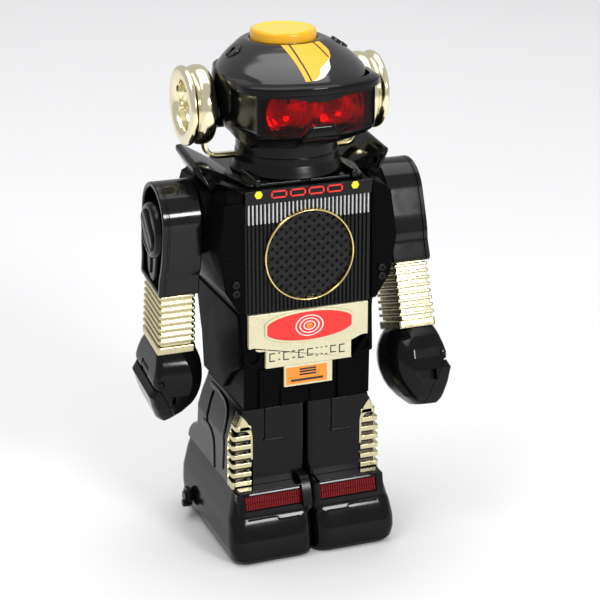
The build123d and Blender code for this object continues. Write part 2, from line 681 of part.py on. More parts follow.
def shoulder_shell():
    """Left shoulder in its own frame: axis along X through the origin, arm hanging down."""
    body = along_x(shoulder_outline(), ARM_INNER, ARM_OUTER)
    body = chamfer(body.faces().sort_by(Axis.X)[0].edges(), 0.8)
    body -= along_x(shoulder_outline(2.4), 52, ARM_OUTER + 1)
    body += rod_x(4.0, 37, ARM_INNER + 1, 0, 0)
    body += rod_x(7.0, 51, 56, 0, 0)
    return body


def shoulder_cap():
    """Round cap inside the shoulder's rim, with a slanting tab."""
    cap = rod_x(14.0, 60.5, 68.0, 0, 0)
    cap = fillet(cap.faces().sort_by(Axis.X)[-1].edges(), 2.4)
    cap += Rot(35, 0, 0) * block(64, 69.0, -10.5, 10.5, -3.0, 3.0)
    return cap + rod_x(5.0, 56, 61, 0, 0)


def forearm():
    """Ribbed metallised forearm."""
    core = block(49.4, 64.6, -11.6, 11.6, -WRIST_DROP, -SHOULDER_DROP)
    plates = []
    for step in range(8):
        z = -SHOULDER_DROP - 2.2 - 3.4 * step
        plates.append(block(48.2, 66.4, -13.4, 13.4, z - 0.5, z + 0.5))
    core += plates
    return core + block(47.8, 66.0, -12.8, 12.8, -WRIST_DROP, -61.8)


def hand_outline():
    return outline([(46.4, -WRIST_DROP), (43.0, -74), (42.0, -82), (43.6, -92), (48.8, -100.5), (53.6, -105),
                    (66.2, -103.4), (71.4, -88.4), (68.8, -84.6), (69.4, -80), (66, -WRIST_DROP)])


def hand_depth():
    return outline([(-12.6, -WRIST_DROP), (-17.4, -72), (-19.2, -82), (-17.6, -95), (-12, -105.4),
                    (12, -105.4), (17.6, -95), (19.2, -82), (17.4, -72), (12.6, -WRIST_DROP)])


def jaw_line():
    """Region on the outer lower side that belongs to the jaw."""
    return outline([(80, -84.4), (66.6, -84.4), (64.2, -88.2), (57.6, -104), (57.6, -120), (80, -120)])


def hand_form():
    return along_y(hand_outline(), -20, 20) & along_x(hand_depth(), 40, 80)


def jaw_ear(radius, half_y):
    return rod_y(radius, -half_y, half_y, JAW_PIN_X, JAW_PIN_Z)


def hand():
    """Left hand: faceted pod with a slot for the jaw's ear."""
    body = hand_form() - along_y(offset(jaw_line(), amount=GAP), -30, 30)
    body -= jaw_ear(5.6, 5.4) + block(62, 75, -5.4, 5.4, -90, -76)
    body -= rod_y(1.3 + RUN, -30, 30, JAW_PIN_X, JAW_PIN_Z)
    knuckle = rod_y(3.5, -31, 31, JAW_PIN_X, JAW_PIN_Z)
    body -= block(JAW_PIN_X, 75, -30, 30, -90, -81.7) - knuckle
    return body - block(59.6, 62.6, -30, -14, -93.5, -88)


def jaw():
    """Left jaw with its ear and pivot pin."""
    body = hand_form() & along_y(jaw_line(), -30, 30)
    body += jaw_ear(3.0, 5.0) + block(JAW_PIN_X - 1.8, JAW_PIN_X + 2.4, -5, 5, -90, JAW_PIN_Z)
    return body + rod_y(1.3, -18.8, 18.8, JAW_PIN_X, JAW_PIN_Z)


def place_arm(shape, side):
    """Hang a left-arm piece on the named side at its resting angle."""
    if side == "right":
        shape = flip(shape)
    angle = RIGHT_ARM_ANGLE if side == "right" else LEFT_ARM_ANGLE
    return Pos(0, 0, SHOULDER_Z) * Rot(angle, 0, 0) * shape


# ---- drive inside the torso ---------------------------------------------------------
def gear(teeth, x0, x1, y, z, start):
    """Spur gear with straight-sided teeth, turned by start degrees."""
    pitch_r = GEAR_MODULE * teeth / 2
    root = pitch_r - 1.15 * GEAR_MODULE
    tip = pitch_r + 0.9 * GEAR_MODULE
    step = 360 / teeth
    points = []
    for tooth in range(teeth):
        for radius, turn in ((root, -0.36), (tip, -0.13), (tip, 0.13), (root, 0.36)):
            a = radians(start + step * (tooth + turn))
            points.append((y + radius * cos(a), z + radius * sin(a)))
    return along_x(outline(points), x0, x1)


def gearbox_frame():
    """Two side plates and their posts."""
    frame = []
    for x in (-20, 18.5):
        plate = block(x, x + 1.5, -18, 28, 92.5, 118.5)
        plate -= rod_x(2.0 + RUN, x - 1, x + 3, CRANK_Y, CRANK_Z)
        plate -= rod_x(3.2, x - 1, x + 3, MOTOR_Y, CRANK_Z)
        frame.append(plate)
    for y, z in ((-15, 95.5), (25.5, 95.5), (-15, 115.5)):
        frame.append(rod_x(1.8, -18.5, 18.5, y, z))
    body = frame[0]
    for piece in frame[1:]:
        body += piece
    return body


def motor():
    flats = block(-14, 14, MOTOR_Y - 10, MOTOR_Y + 10, CRANK_Z - 8, CRANK_Z + 8)
    can = rod_x(10.0, -14, 14, MOTOR_Y, CRANK_Z) & flats
    return can + rod_x(3.1, -16, 18.4, MOTOR_Y, CRANK_Z) - rod_x(1.0 + RUN, 10, 20, MOTOR_Y, CRANK_Z)


def motor_pinion():
    """Pinion on its shaft."""
    teeth = gear(PINION_TEETH, 21.5, 25.5, MOTOR_Y, CRANK_Z, 0)
    return teeth + rod_x(1.0, 11, 22, MOTOR_Y, CRANK_Z)


def drive_gear():
    wheel = gear(GEAR_TEETH, 21.7, 25.3, CRANK_Y, CRANK_Z, 360 / GEAR_TEETH / 2)
    wheel -= rod_x(2.0, 20, 27, CRANK_Y, CRANK_Z)
    for turn in range(5):
        a = radians(72 * turn + 20)
        wheel -= rod_x(3.0, 20, 27, CRANK_Y + 9 * cos(a), CRANK_Z + 9 * sin(a))
    return wheel


def crank_shaft():
    """Shaft with a crank disc and pin at each end, half a turn apart."""
    shaft = rod_x(2.0, -27.5, 27.5, CRANK_Y, CRANK_Z)
    for side in (-1, 1):
        shaft += rod_x(6.5, side * 25.9, side * 27.6, CRANK_Y, CRANK_Z)
        shaft += rod_x(1.5, side * 27.5, side * 30.6, CRANK_Y, CRANK_Z + side * CRANK_THROW)
    return shaft


def circuit_board():
    """Board with a few parts behind the speaker."""
    board = block(-26, 26, -8, -6.4, 134, 176)
    for x, z, half in ((-15, 168, 4), (4, 170, 3), (16, 142, 5), (-16, 142, 4)):
        board += block(x - half, x + half, -6.4, -2.6, z - 2.5, z + 2.5)
    for x in (-6, 12):
        board += rod_y(2.6, -6.4, 0.5, x, 155)
    return board


# ---- assembly -----------------------------------------------------------------------
def add(name, shape):
    NODES[name] = shape


def add_torso():
    walls = torso_hollow()
    add("torso_front_shell", torso_front_shell(walls))
    add("torso_rear_shell", torso_rear_shell(walls))
    add("shell_screws", shell_screws())
    add("battery_door", battery_door())
    add("battery_cells", battery_cells())
    add("chest_panel", chest_panel())
    add("chest_fins", chest_fins())
    add("header_sticker", header_sticker())
    add("speaker_ring", speaker_ring())
    add("speaker_grille", speaker_grille())
    add("speaker_driver", speaker_driver())
    add("badge_plate", badge_plate())
    add("badge_emblem", badge_emblem())
    add("badge_label", badge_label())
    add("chest_bolts", chest_bolts())
    add("collar", collar())
    add("circuit_board", circuit_board())


def add_head():
    add("neck", neck())
    add("head_dome", head_dome())
    add("head_face_frame", head_face_frame())
    add("visor_lens", visor_lens())
    add("eye_reflector", eye_reflector())
    add("eye_lamps", eye_lamps())
    add("dome_stripe", dome_stripe())
    add("right_ear_horn", ear_horn())
    add("left_ear_horn", flip(ear_horn()))
    add("ear_straps", ear_straps())
    add("head_button", head_button())
    add("button_spring", button_spring())
    add("button_switch", button_switch())


def add_drive():
    add("gearbox_frame", gearbox_frame())
    add("motor", motor())
    add("motor_pinion", motor_pinion())
    add("drive_gear", drive_gear())
    add("crank_shaft", crank_shaft())


def add_arms():
    pieces = {"shoulder_shell": shoulder_shell(), "shoulder_cap": shoulder_cap(), "forearm": forearm(),
              "hand": hand(), "jaw": jaw()}
    for side in ("right", "left"):
        for name, shape in pieces.items():
            add(f"{side}_{name}", place_arm(shape, side))


def add_legs():
    shell = leg_shell()
    pieces = {"leg_shell": shell, "sole_plate": sole_plate(), "shin_grille": shin_grille(),
              "foot_lens": foot_lens()}
    for place, y in ROLLER_YS.items():
        pieces[f"{place}_roller"] = roller(y)
    for name, shape in pieces.items():
        add(f"right_{name}", shape)
        add(f"left_{name}", flip(shape))
    add("foot_bridge", foot_bridge())
    add("mode_knob", mode_knob())


def whole_box():
    low = [1e9] * 3
    high = [-1e9] * 3
    for shape in NODES.values():
        box = shape.bounding_box()
        low = [min(a, b) for a, b in zip(low, tuple(box.min))]
        high = [max(a, b) for a, b in zip(high, tuple(box.max))]
    return low, high


def main():
    os.makedirs("parts", exist_ok=True)
    for build in (add_torso, add_head, add_drive, add_arms, add_legs):
        build()
    low, high = whole_box()
    shift = -(low[1] + high[1]) / 2
    for name, shape in NODES.items():
        export_step(Pos(0, shift, 0) * shape, f"parts/{name}.step")
    print("moved along Y by", round(shift, 4), "mm; box", [round(b - a, 2) for a, b in zip(low, high)])


main()
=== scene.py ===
"""Walking toy robot: the looks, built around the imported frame.

Pieces are drawn in millimetres about the head button's axis, with the floor at z = 0, and
placed into the frame by one matrix. The robot faces -Y and its own right side is -X.
"""
import bpy
import bmesh
import json
from math import atan2, cos, pi, radians, sin, sqrt
from mathutils import Matrix, Vector


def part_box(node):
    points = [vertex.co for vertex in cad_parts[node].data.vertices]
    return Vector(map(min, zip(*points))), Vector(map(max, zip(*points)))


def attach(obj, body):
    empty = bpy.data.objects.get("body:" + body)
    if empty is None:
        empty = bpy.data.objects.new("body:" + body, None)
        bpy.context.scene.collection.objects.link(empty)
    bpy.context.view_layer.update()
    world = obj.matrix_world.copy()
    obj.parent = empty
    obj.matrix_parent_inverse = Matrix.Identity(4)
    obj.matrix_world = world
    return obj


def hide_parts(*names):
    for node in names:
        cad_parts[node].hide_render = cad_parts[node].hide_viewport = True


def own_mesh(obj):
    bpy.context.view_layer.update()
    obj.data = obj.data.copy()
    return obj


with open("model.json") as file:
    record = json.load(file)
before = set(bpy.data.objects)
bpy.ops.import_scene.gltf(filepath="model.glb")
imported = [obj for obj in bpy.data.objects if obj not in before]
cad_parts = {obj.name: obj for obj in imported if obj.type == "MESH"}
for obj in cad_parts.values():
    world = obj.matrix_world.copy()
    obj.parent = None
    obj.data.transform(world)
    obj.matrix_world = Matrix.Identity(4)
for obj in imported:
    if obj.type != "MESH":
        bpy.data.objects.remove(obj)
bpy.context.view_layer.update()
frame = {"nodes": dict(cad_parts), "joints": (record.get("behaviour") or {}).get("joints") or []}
JOINTS = {joint["name"]: joint for joint in frame["joints"]}
MM = 0.001

# ---- places taken from the frame ----------------------------------------------------
BUTTON_LOW, BUTTON_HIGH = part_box("head_button")
BUTTON_Y = (BUTTON_LOW.y + BUTTON_HIGH.y) / 2
SHOULDER = Vector(JOINTS["right_arm_swing"]["pos_m"])


MIRROR = Matrix.Scale(-1, 4, (1, 0, 0))


def body_place():
    return Matrix.Translation((0, BUTTON_Y, 0)) @ Matrix.Scale(MM, 4)


def arm_angle(side):
    """Resting swing of an arm about +X, read from its jaw's axis."""
    _, y, z = JOINTS[side + "_jaw_open"]["axis"]
    return atan2(z, y) if y > 0 else atan2(-z, -y)


def arm_place(side):
    flip = MIRROR if side == "right" else Matrix.Identity(4)
    turn = Matrix.Rotation(arm_angle(side), 4, "X")
    return Matrix.Translation((0, SHOULDER.y, SHOULDER.z)) @ turn @ Matrix.Scale(MM, 4) @ flip


# ---- outlines -----------------------------------------------------------------------
def corner_arc(p, b, q, steps):
    """Points of a soft corner from p to q that leans towards b."""
    return [tuple(p * (1 - t) ** 2 + b * 2 * t * (1 - t) + q * t ** 2)
            for t in (k / steps for k in range(steps + 1))]


def turns(count):
    return [2 * pi * k / count for k in range(count)]


def rounded(points, radius, steps):
    """A closed polygon with its corners rounded; radius is one number or one for each corner."""
    count = len(points)
    radii = radius if isinstance(radius, (list, tuple)) else [radius] * count
    out = []
    for i, r in enumerate(radii):
        a, b, c = Vector(points[i - 1]), Vector(points[i]), Vector(points[(i + 1) % count])
        if r <= 0:
            out.append(tuple(b))
            continue
        reach = min(r, 0.49 * (a - b).length, 0.49 * (c - b).length)
        out += corner_arc(b + (a - b).normalized() * reach, b, b + (c - b).normalized() * reach, steps)
    return out


def counter_clockwise(points):
    area = sum(points[i - 1][0] * points[i][1] - points[i][0] * points[i - 1][1] for i in range(len(points)))
    return points if area > 0 else points[::-1]


def inset(points, amount):
    """Move a counter-clockwise outline inwards, with mitred corners."""
    out = []
    for i, b in enumerate(points):
        a, c = Vector(points[i - 1]), Vector(points[(i + 1) % len(points)])
        b = Vector(b)
        one, two = (b - a).normalized(), (c - b).normalized()
        n1, n2 = Vector((-one.y, one.x)), Vector((-two.y, two.x))
        out.append(tuple(b + (n1 + n2) * (amount / max(0.35, 1 + n1.dot(n2)))))
    return out


def by_height(table, z, column=1):
    """Straight-line reading of a table whose rows start with a rising height."""
    for low, high in zip(table, table[1:]):
        if low[0] <= z <= high[0]:
            t = (z - low[0]) / max(1e-9, high[0] - low[0])
            return low[column] * (1 - t) + high[column] * t
    return table[-1][column] if z > table[-1][0] else table[0][column]


def spline(points, parts):
    """Catmull-Rom curve through points of any dimension."""
    out = []
    last = len(points) - 1
    for i in range(last):
        p0, p1, p2, p3 = (points[max(i - 1, 0)], points[i], points[i + 1], points[min(i + 2, last)])
        for k in range(parts):
            t = k / parts
            out.append(tuple(0.5 * (2 * b + (c - a) * t + (2 * a - 5 * b + 4 * c - d) * t * t
                                    + (3 * b - a - 3 * c + d) * t ** 3) for a, b, c,
                             d in zip(p0, p1, p2, p3)))
    out.append(tuple(points[last]))
    return out


ALONG_X, ALONG_Y = (1, 0, 0), (0, 1, 0)
AXES = {"x": lambda u, v, w: (w, u, v), "y": lambda u, v, w: (u, w, v), "z": lambda u, v, w: (u, v, w)}


# ---- meshes -------------------------------------------------------------------------
def linked(name, data):
    """A new object in the scene that shows this mesh, light or camera."""
    obj = bpy.data.objects.new(name, data)
    bpy.context.scene.collection.objects.link(obj)
    return obj


def draft_from(work):
    """A draft object from a bmesh, which is freed."""
    mesh = bpy.data.meshes.new("draft")
    work.to_mesh(mesh)
    work.free()
    return linked("draft", mesh)


def make(verts, faces):
    mesh = bpy.data.meshes.new("draft")
    mesh.from_pydata([tuple(v) for v in verts], [], faces)
    work = bmesh.new()
    work.from_mesh(mesh)
    bmesh.ops.remove_doubles(work, verts=work.verts, dist=1e-5)
    bmesh.ops.recalc_face_normals(work, faces=work.faces)
    bpy.data.meshes.remove(mesh)
    return draft_from(work)


def skin(rings, closed_rows=False):
    """Join rings of equal length with quads; the last ring meets the first, or both ends are capped."""
    count = len(rings[0])
    verts = [p for ring in rings for p in ring]
    faces = []
    rows = len(rings) if closed_rows else len(rings) - 1
    for r in range(rows):
        low, high = r * count, ((r + 1) % len(rings)) * count
        for k in range(count):
            j = (k + 1) % count
            faces.append((low + k, low + j, high + j, high + k))
    if not closed_rows:
        faces.append(tuple(range(count))[::-1])
        faces.append(tuple(range((len(rings) - 1) * count, len(rings) * count)))
    return make(verts, faces)


def soft_prism(points, low, high, axis, edge, steps=3, low_edge=None):
    """Extrude an outline along an axis, with both rims rounded by edge."""
    points = counter_clockwise([tuple(p) for p in points])
    low_edge = edge if low_edge is None else low_edge
    place = AXES[axis]
    rings = []
    for k in range(steps + 1):
        a = pi / 2 * k / steps
        w = low + low_edge * (1 - cos(a))
        rings.append([place(u, v, w) for u, v in inset(points, low_edge * (1 - sin(a)))])
    for k in range(steps, -1, -1):
        a = pi / 2 * k / steps
        w = high - edge * (1 - cos(a))
        rings.append([place(u, v, w) for u, v in inset(points, edge * (1 - sin(a)))])
    return skin(rings)


def slab(x0, x1, y0, y1, z0, z1, edge, corner=0.0, axis="y"):
    """Box with rounded rims, drawn along one axis."""
    spans = {"x": ((y0, y1), (z0, z1), (x0, x1)), "y": ((x0, x1), (z0, z1), (y0, y1)),
             "z": ((x0, x1), (y0, y1), (z0, z1))}[axis]
    (u0, u1), (v0, v1), (w0, w1) = spans
    points = [(u0, v0), (u1, v0), (u1, v1), (u0, v1)]
    if corner:
        points = rounded(points, corner, 4)
    return soft_prism(points, w0, w1, axis, edge)


def lathe(profile, centre, direction=(0, 0, 1), steps=72):
    """Revolve (radius, height) points about an axis through centre."""
    turn = Vector((0, 0, 1)).rotation_difference(Vector(direction)).to_matrix()
    return skin([[Vector(centre) + turn @ Vector((max(r, 1e-4) * cos(a), max(r, 1e-4) * sin(a), height))
                  for a in turns(steps)] for r, height in profile])


def rod(radius, low, high, centre, direction=(0, 0, 1), steps=72):
    return lathe([(0, low), (radius, low), (radius, high), (0, high)], centre, direction, steps)


def soft_profile(points, radius):
    """Open lathe profile with its inner corners rounded."""
    out = [points[0]]
    for a, b, c in zip(map(Vector, points), map(Vector, points[1:]), map(Vector, points[2:])):
        reach = min(radius, 0.45 * (a - b).length, 0.45 * (c - b).length)
        out += corner_arc(b + (a - b).normalized() * reach, b, b + (c - b).normalized() * reach, 4)
    return out + [points[-1]]


def neighbours(points):
    """Direction along a path at each of its points, not normalised."""
    last = len(points) - 1
    return [points[min(i + 1, last)] - points[max(i - 1, 0)] for i in range(last + 1)]


def tube(path, radius, steps):
    """Round bar along a path of points."""
    points = [Vector(p) for p in path]
    rings, side = [], None
    for p, ahead in zip(points, neighbours(points)):
        ahead.normalize()
        if side is None:
            side = ahead.orthogonal().normalized()
        side = (side - ahead * side.dot(ahead)).normalized()
        up = ahead.cross(side)
        rings.append([p + side * radius * cos(a) + up * radius * sin(a) for a in turns(steps)])
    return skin(rings)


def ribbon(path, across, thick):
    """Flat bar along a path; across gives its half width direction and thick its half thickness."""
    across = Vector(across)
    points = [Vector(p) for p in path]
    rings = []
    for p, ahead in zip(points, neighbours(points)):
        out = ahead.normalized().cross(across).normalized() * thick
        rings.append([p - across - out * 0.6, p - across * 0.9 + out, p + across * 0.9 + out,
                      p + across - out * 0.6, p + across * 0.8 - out, p - across * 0.8 - out])
    return skin(rings)


def join(pieces):
    """Merge closed shells into one object."""
    work = bmesh.new()
    for piece in pieces:
        work.from_mesh(piece.data)
    for piece in pieces:
        discard(piece)
    return draft_from(work)


def discard(obj):
    mesh = obj.data
    bpy.data.objects.remove(obj)
    bpy.data.meshes.remove(mesh)


def bake_modifiers(obj):
    bpy.context.view_layer.update()
    mesh = bpy.data.meshes.new_from_object(obj.evaluated_get(bpy.context.evaluated_depsgraph_get()))
    old = obj.data
    obj.modifiers.clear()
    obj.data = mesh
    bpy.data.meshes.remove(old)
    return obj


def boolean(obj, other, operation="DIFFERENCE"):
    modifier = obj.modifiers.new("cut", "BOOLEAN")
    modifier.operation = operation
    modifier.solver = "EXACT"
    modifier.use_self = True
    modifier.object = other
    bake_modifiers(obj)
    discard(other)
    return obj


def bevel(obj, width, segments, angle=30):
    modifier = obj.modifiers.new("bevel", "BEVEL")
    modifier.width = width
    modifier.segments = segments
    modifier.limit_method = "ANGLE"
    modifier.angle_limit = radians(angle)
    modifier.use_clamp_overlap = True
    return bake_modifiers(obj)


def mirrored(obj):
    """A copy on the other side of x = 0."""
    mesh = obj.data.copy()
    mesh.transform(MIRROR)
    mesh.flip_normals()
    return linked("draft", mesh)


def pair(obj):
    return [obj, mirrored(obj)]


def finish_piece(obj, name, body, slot, material, node, place, sharp=32):
    """Place a draft in the frame, shade it and hand it to its body, in place of a CAD node."""
    obj.data.transform(place)
    if place.determinant() < 0:
        obj.data.flip_normals()
    obj.name = name
    obj.data.name = name
    obj.data.shade_smooth()
    obj.data.set_sharp_from_angle(angle=radians(sharp))
    weighted = obj.modifiers.new("weighted", "WEIGHTED_NORMAL")
    weighted.keep_sharp = True
    obj.data.materials.clear()
    obj.data.materials.append(material)
    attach(obj, body)
    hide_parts(node)
    return obj


def on_torso(obj, name, slot, material, node, sharp=32):
    return finish_piece(obj, name, "torso", slot, material, node, body_place(), sharp)


# ---- materials ----------------------------------------------------------------------
def new_material(name):
    material = bpy.data.materials.new(name)
    material.use_nodes = True
    tree = material.node_tree
    tree.nodes.clear()
    output = tree.nodes.new("ShaderNodeOutputMaterial")
    shader = tree.nodes.new("ShaderNodeBsdfPrincipled")
    tree.links.new(shader.outputs["BSDF"], output.inputs["Surface"])
    return material, tree, shader


def pattern(tree, kind, **values):
    """Texture node in object coordinates."""
    texture = tree.nodes.new(kind)
    for name, value in values.items():
        texture.inputs[name].default_value = value
    tree.links.new(tree.nodes.new("ShaderNodeTexCoord").outputs["Object"], texture.inputs["Vector"])
    return texture


def noise(tree, scale, detail=3.0, rough=0.55):
    return pattern(tree, "ShaderNodeTexNoise", Scale=scale, Detail=detail, Roughness=rough).outputs["Fac"]


def ramp(tree, source, stops):
    """Colour ramp; a stop's value is a colour, or a number for a grey."""
    node = tree.nodes.new("ShaderNodeValToRGB")
    elements = node.color_ramp.elements
    while len(elements) < len(stops):
        elements.new(0.5)
    for element, (position, value) in zip(elements, stops):
        element.position = position
        element.color = (*value, 1) if isinstance(value, tuple) else (value, value, value, 1)
    tree.links.new(source, node.inputs["Fac"])
    return node.outputs["Color"]


def facing_up(tree, stops):
    """Ramp over how far a face looks up."""
    parts = tree.nodes.new("ShaderNodeSeparateXYZ")
    tree.links.new(tree.nodes.new("ShaderNodeNewGeometry").outputs["Normal"], parts.inputs["Vector"])
    return ramp(tree, parts.outputs["Z"], stops)


def reckon(tree, operation, *values, clamp=False):
    """Math node; each value is a socket or a number."""
    node = tree.nodes.new("ShaderNodeMath")
    node.operation, node.use_clamp = operation, clamp
    for value, socket in zip(values, node.inputs):
        if isinstance(value, float):
            socket.default_value = value
        else:
            tree.links.new(value, socket)
    return node.outputs[0]


def add_bump(tree, shader, source, strength, distance):
    bump = tree.nodes.new("ShaderNodeBump")
    bump.inputs["Strength"].default_value = strength
    bump.inputs["Distance"].default_value = distance
    tree.links.new(source, bump.inputs["Height"])
    tree.links.new(bump.outputs["Normal"], shader.inputs["Normal"])


def plastic(name, base, dusty, rough, dust, spec):
    """Moulded plastic: faint waviness, uneven gloss, and specks of dust on what faces up."""
    material, tree, shader = new_material(name)
    patches = noise(tree, 55, 4)
    specks = ramp(tree, noise(tree, 900, 2, 0.7), [(0.56, 0.0), (0.72, 1.0)])
    film = ramp(tree, patches, [(0.38, 0.0), (0.75, 0.55)])
    upward = facing_up(tree, [(0.0, 0.12), (0.25, 0.35), (0.9, 1.0)])
    settled = reckon(tree, "MULTIPLY", reckon(tree, "ADD", specks, film), upward)
    amount = reckon(tree, "MULTIPLY", settled, dust, clamp=True)
    mix = tree.nodes.new("ShaderNodeMixRGB")
    mix.inputs["Color1"].default_value = (*base, 1)
    mix.inputs["Color2"].default_value = (*dusty, 1)
    tree.links.new(amount, mix.inputs["Fac"])
    tree.links.new(mix.outputs["Color"], shader.inputs["Base Color"])
    gloss = ramp(tree, patches, [(0.3, rough[0]), (0.75, rough[1])])
    tree.links.new(reckon(tree, "MULTIPLY_ADD", amount, 0.45, gloss), shader.inputs["Roughness"])
    shader.inputs["Specular IOR Level"].default_value = spec
    add_bump(tree, shader, patches, 0.5, 0.00006)
    return material


def metallised(name, base, tint, rough=0.09):
    """Thin bright metal coat over moulded plastic, a little uneven and tarnished."""
    material, tree, shader = new_material(name)
    wave = noise(tree, 120, 3)
    stain = noise(tree, 420, 4, 0.65)
    tree.links.new(ramp(tree, stain, [(0.3, base), (0.62, base), (0.8, tint)]), shader.inputs["Base Color"])
    shader.inputs["Metallic"].default_value = 1.0
    tree.links.new(ramp(tree, stain, [(0.35, rough), (0.8, rough + 0.16)]), shader.inputs["Roughness"])
    add_bump(tree, shader, wave, 0.6, 0.00012)
    return material


def clear_red(name, base, pitch):
    """Transparent red moulding with fine prism dots on it."""
    material, tree, shader = new_material(name)
    cells = pattern(tree, "ShaderNodeTexVoronoi", Scale=1 / pitch, Randomness=0.12)
    shader.inputs["Base Color"].default_value = (*base, 1)
    shader.inputs["Transmission Weight"].default_value = 1.0
    shader.inputs["IOR"].default_value = 1.22
    tree.links.new(ramp(tree, noise(tree, 300), [(0.3, 0.05), (0.8, 0.16)]), shader.inputs["Roughness"])
    add_bump(tree, shader, cells.outputs["Distance"], 0.8, 0.00025)
    return material


def plain(name, base, rough, metal=0.0, scale=400, spread=0.12, bump=0.00003, shade=0.75, spec=0.5):
    """Simple finish with a little variation in colour and gloss."""
    material, tree, shader = new_material(name)
    texture = noise(tree, scale, 3)
    darker = tuple(channel * shade for channel in base)
    tree.links.new(ramp(tree, texture, [(0.3, darker), (0.6, base)]), shader.inputs["Base Color"])
    tree.links.new(ramp(tree, texture, [(0.3, rough), (0.7, rough + spread)]), shader.inputs["Roughness"])
    shader.inputs["Metallic"].default_value = metal
    shader.inputs["Specular IOR Level"].default_value = spec
    add_bump(tree, shader, texture, 0.4, bump)
    return material


def paint_top_highlight(material, highlight_colour):
    """Painted highlight: a paler, greener colour on the faces that look straight up, where light from above
    falls.
    """
    tree = material.node_tree
    shader = next(node for node in tree.nodes if node.type == "BSDF_PRINCIPLED")
    usual = shader.inputs["Base Color"].links[0].from_socket
    blend = tree.nodes.new("ShaderNodeMix")
    blend.data_type = "RGBA"
    tree.links.new(facing_up(tree, [(0.90, 0.0), (0.985, 1.0)]), blend.inputs["Factor"])
    tree.links.new(usual, blend.inputs["A"])
    blend.inputs["B"].default_value = (*highlight_colour, 1)
    tree.links.new(blend.outputs["Result"], shader.inputs["Base Color"])


JET, COAL, DUST = (0.003, 0.003, 0.0034), (0.004, 0.004, 0.0045), (0.11, 0.105, 0.10)
BLACK = plastic("black_gloss", JET, DUST, (0.09, 0.17), 0.05, spec=0.17)
SATIN = plastic("black_satin", COAL, DUST, (0.20, 0.32), 0.06, spec=0.2)
DULL = plastic("black_dull", JET, (0.10, 0.095, 0.09), (0.22, 0.36), 0.06, spec=0.012)
GLOSS = plastic("black_shoulder", JET, DUST, (0.08, 0.15), 0.05, spec=0.30)
POLISHED = plastic("black_polished", COAL, DUST, (0.07, 0.13), 0.05, spec=0.55)
GRILLE_BLACK = plastic("speaker_black", (0.005, 0.005, 0.0055), (0.08, 0.08, 0.08),
                       (0.24, 0.36), 0.12, spec=0.25)
GOLD = metallised("metallised", (0.88, 0.81, 0.55), (0.60, 0.52, 0.30))
# Painted shade: a darker copy of the metallised gold, so that the forearms and the shin louvre look less lit
# than the ears.
SHADED_GOLD = metallised("metallised_shaded", (0.60, 0.54, 0.33), (0.38, 0.33, 0.17), 0.14)
BRASS = metallised("speaker_brass", (0.85, 0.68, 0.26), (0.60, 0.46, 0.16))
REFLECTOR = metallised("reflector", (0.95, 0.93, 0.90), (0.7, 0.66, 0.6), 0.10)
RED = clear_red("red_clear", (0.62, 0.002, 0.006), 0.0011)
RED_LENS = plain("red_lens", (0.17, 0.002, 0.005), 0.12, shade=0.8, spec=0.2)
YELLOW = plain("yellow_gloss", (0.90, 0.45, 0.010), 0.20, scale=70, shade=0.96)
# Painted highlight on the button's top face.
paint_top_highlight(YELLOW, (0.80, 0.62, 0.035))
SILVER = plain("silver_fin", (0.58, 0.585, 0.59), 0.30, 0.4, shade=0.8)
STICKER_YELLOW = plain("sticker_yellow", (0.92, 0.47, 0.012), 0.40, shade=0.94)
STICKER_BLACK = plain("sticker_black", (0.008, 0.008, 0.008), 0.45)
STICKER_RED = plain("sticker_red", (0.88, 0.020, 0.014), 0.36, shade=0.92)
STICKER_ORANGE = plain("sticker_orange", (0.86, 0.27, 0.02), 0.4, shade=0.93)
STICKER_WHITE = plain("sticker_white", (0.82, 0.81, 0.76), 0.45, shade=0.94)
HEX_YELLOW = plain("hex_yellow", (0.90, 0.78, 0.01), 0.38, shade=0.93)
BADGE_GOLD = plain("badge_gold", (0.66, 0.62, 0.41), 0.22, 0.3, scale=90, shade=0.94)
STEEL = plain("steel", (0.62, 0.62, 0.64), 0.22, 1.0, shade=0.85)
BOARD = plain("board_green", (0.02, 0.16, 0.05), 0.4, scale=900, shade=0.6)
CELL = plain("cell_wrap", (0.05, 0.05, 0.06), 0.3)
NYLON = plain("gear_white", (0.80, 0.78, 0.72), 0.42, shade=0.92)
CONE = plain("speaker_steel", (0.30, 0.30, 0.31), 0.35, 0.8)
LAMP = plain("lamp_glass", (0.85, 0.80, 0.70), 0.1)


# ---- head ---------------------------------------------------------------------------
DOME = [(238.7, 35.0, -10.0, 39.5), (240.9, 33.6, -9.1, 37.4), (243.0, 31.8, -8.0, 34.5),
        (245.0, 29.8, -6.7, 31.2), (247.0, 27.2, -5.0, 27.5), (248.6, 24.9, -3.6, 24.7),
        (250.0, 22.6, -2.0, 22.0), (251.0, 20.4, -0.8, 20.2), (251.5, 18.6, 0.0, 18.6)]
SKULL = [(205.0, 25.0, -4.2, 25.0), (208.0, 27.6, -3.6, 27.0), (211.0, 30.5, -3.0, 29.0),
         (215.0, 33.0, -2.4, 30.6), (219.0, 34.4, -2.0, 31.5), (224.0, 35.2, -2.0, 31.9),
         (230.0, 35.4, -2.0, 32.0), (235.0, 35.0, -2.0, 31.4), (239.3, 34.4, -2.0, 30.6)]
WELL_R, WELL_FLOOR, WELL_THICK = 16.2, 247.2, 2.2
VISOR_TOP, VISOR_LOW, AHEAD = 233.4, 217.0, -60
BRIM_Z, NECK_Y = 238.7, -4.2


def ellipse_ring(z, a, cy, b, count=112):
    return [(a * sin(t), cy - b * cos(t), z) for t in turns(count)]


def circle_ring(radius, z):
    return ellipse_ring(z, radius, 0, radius)


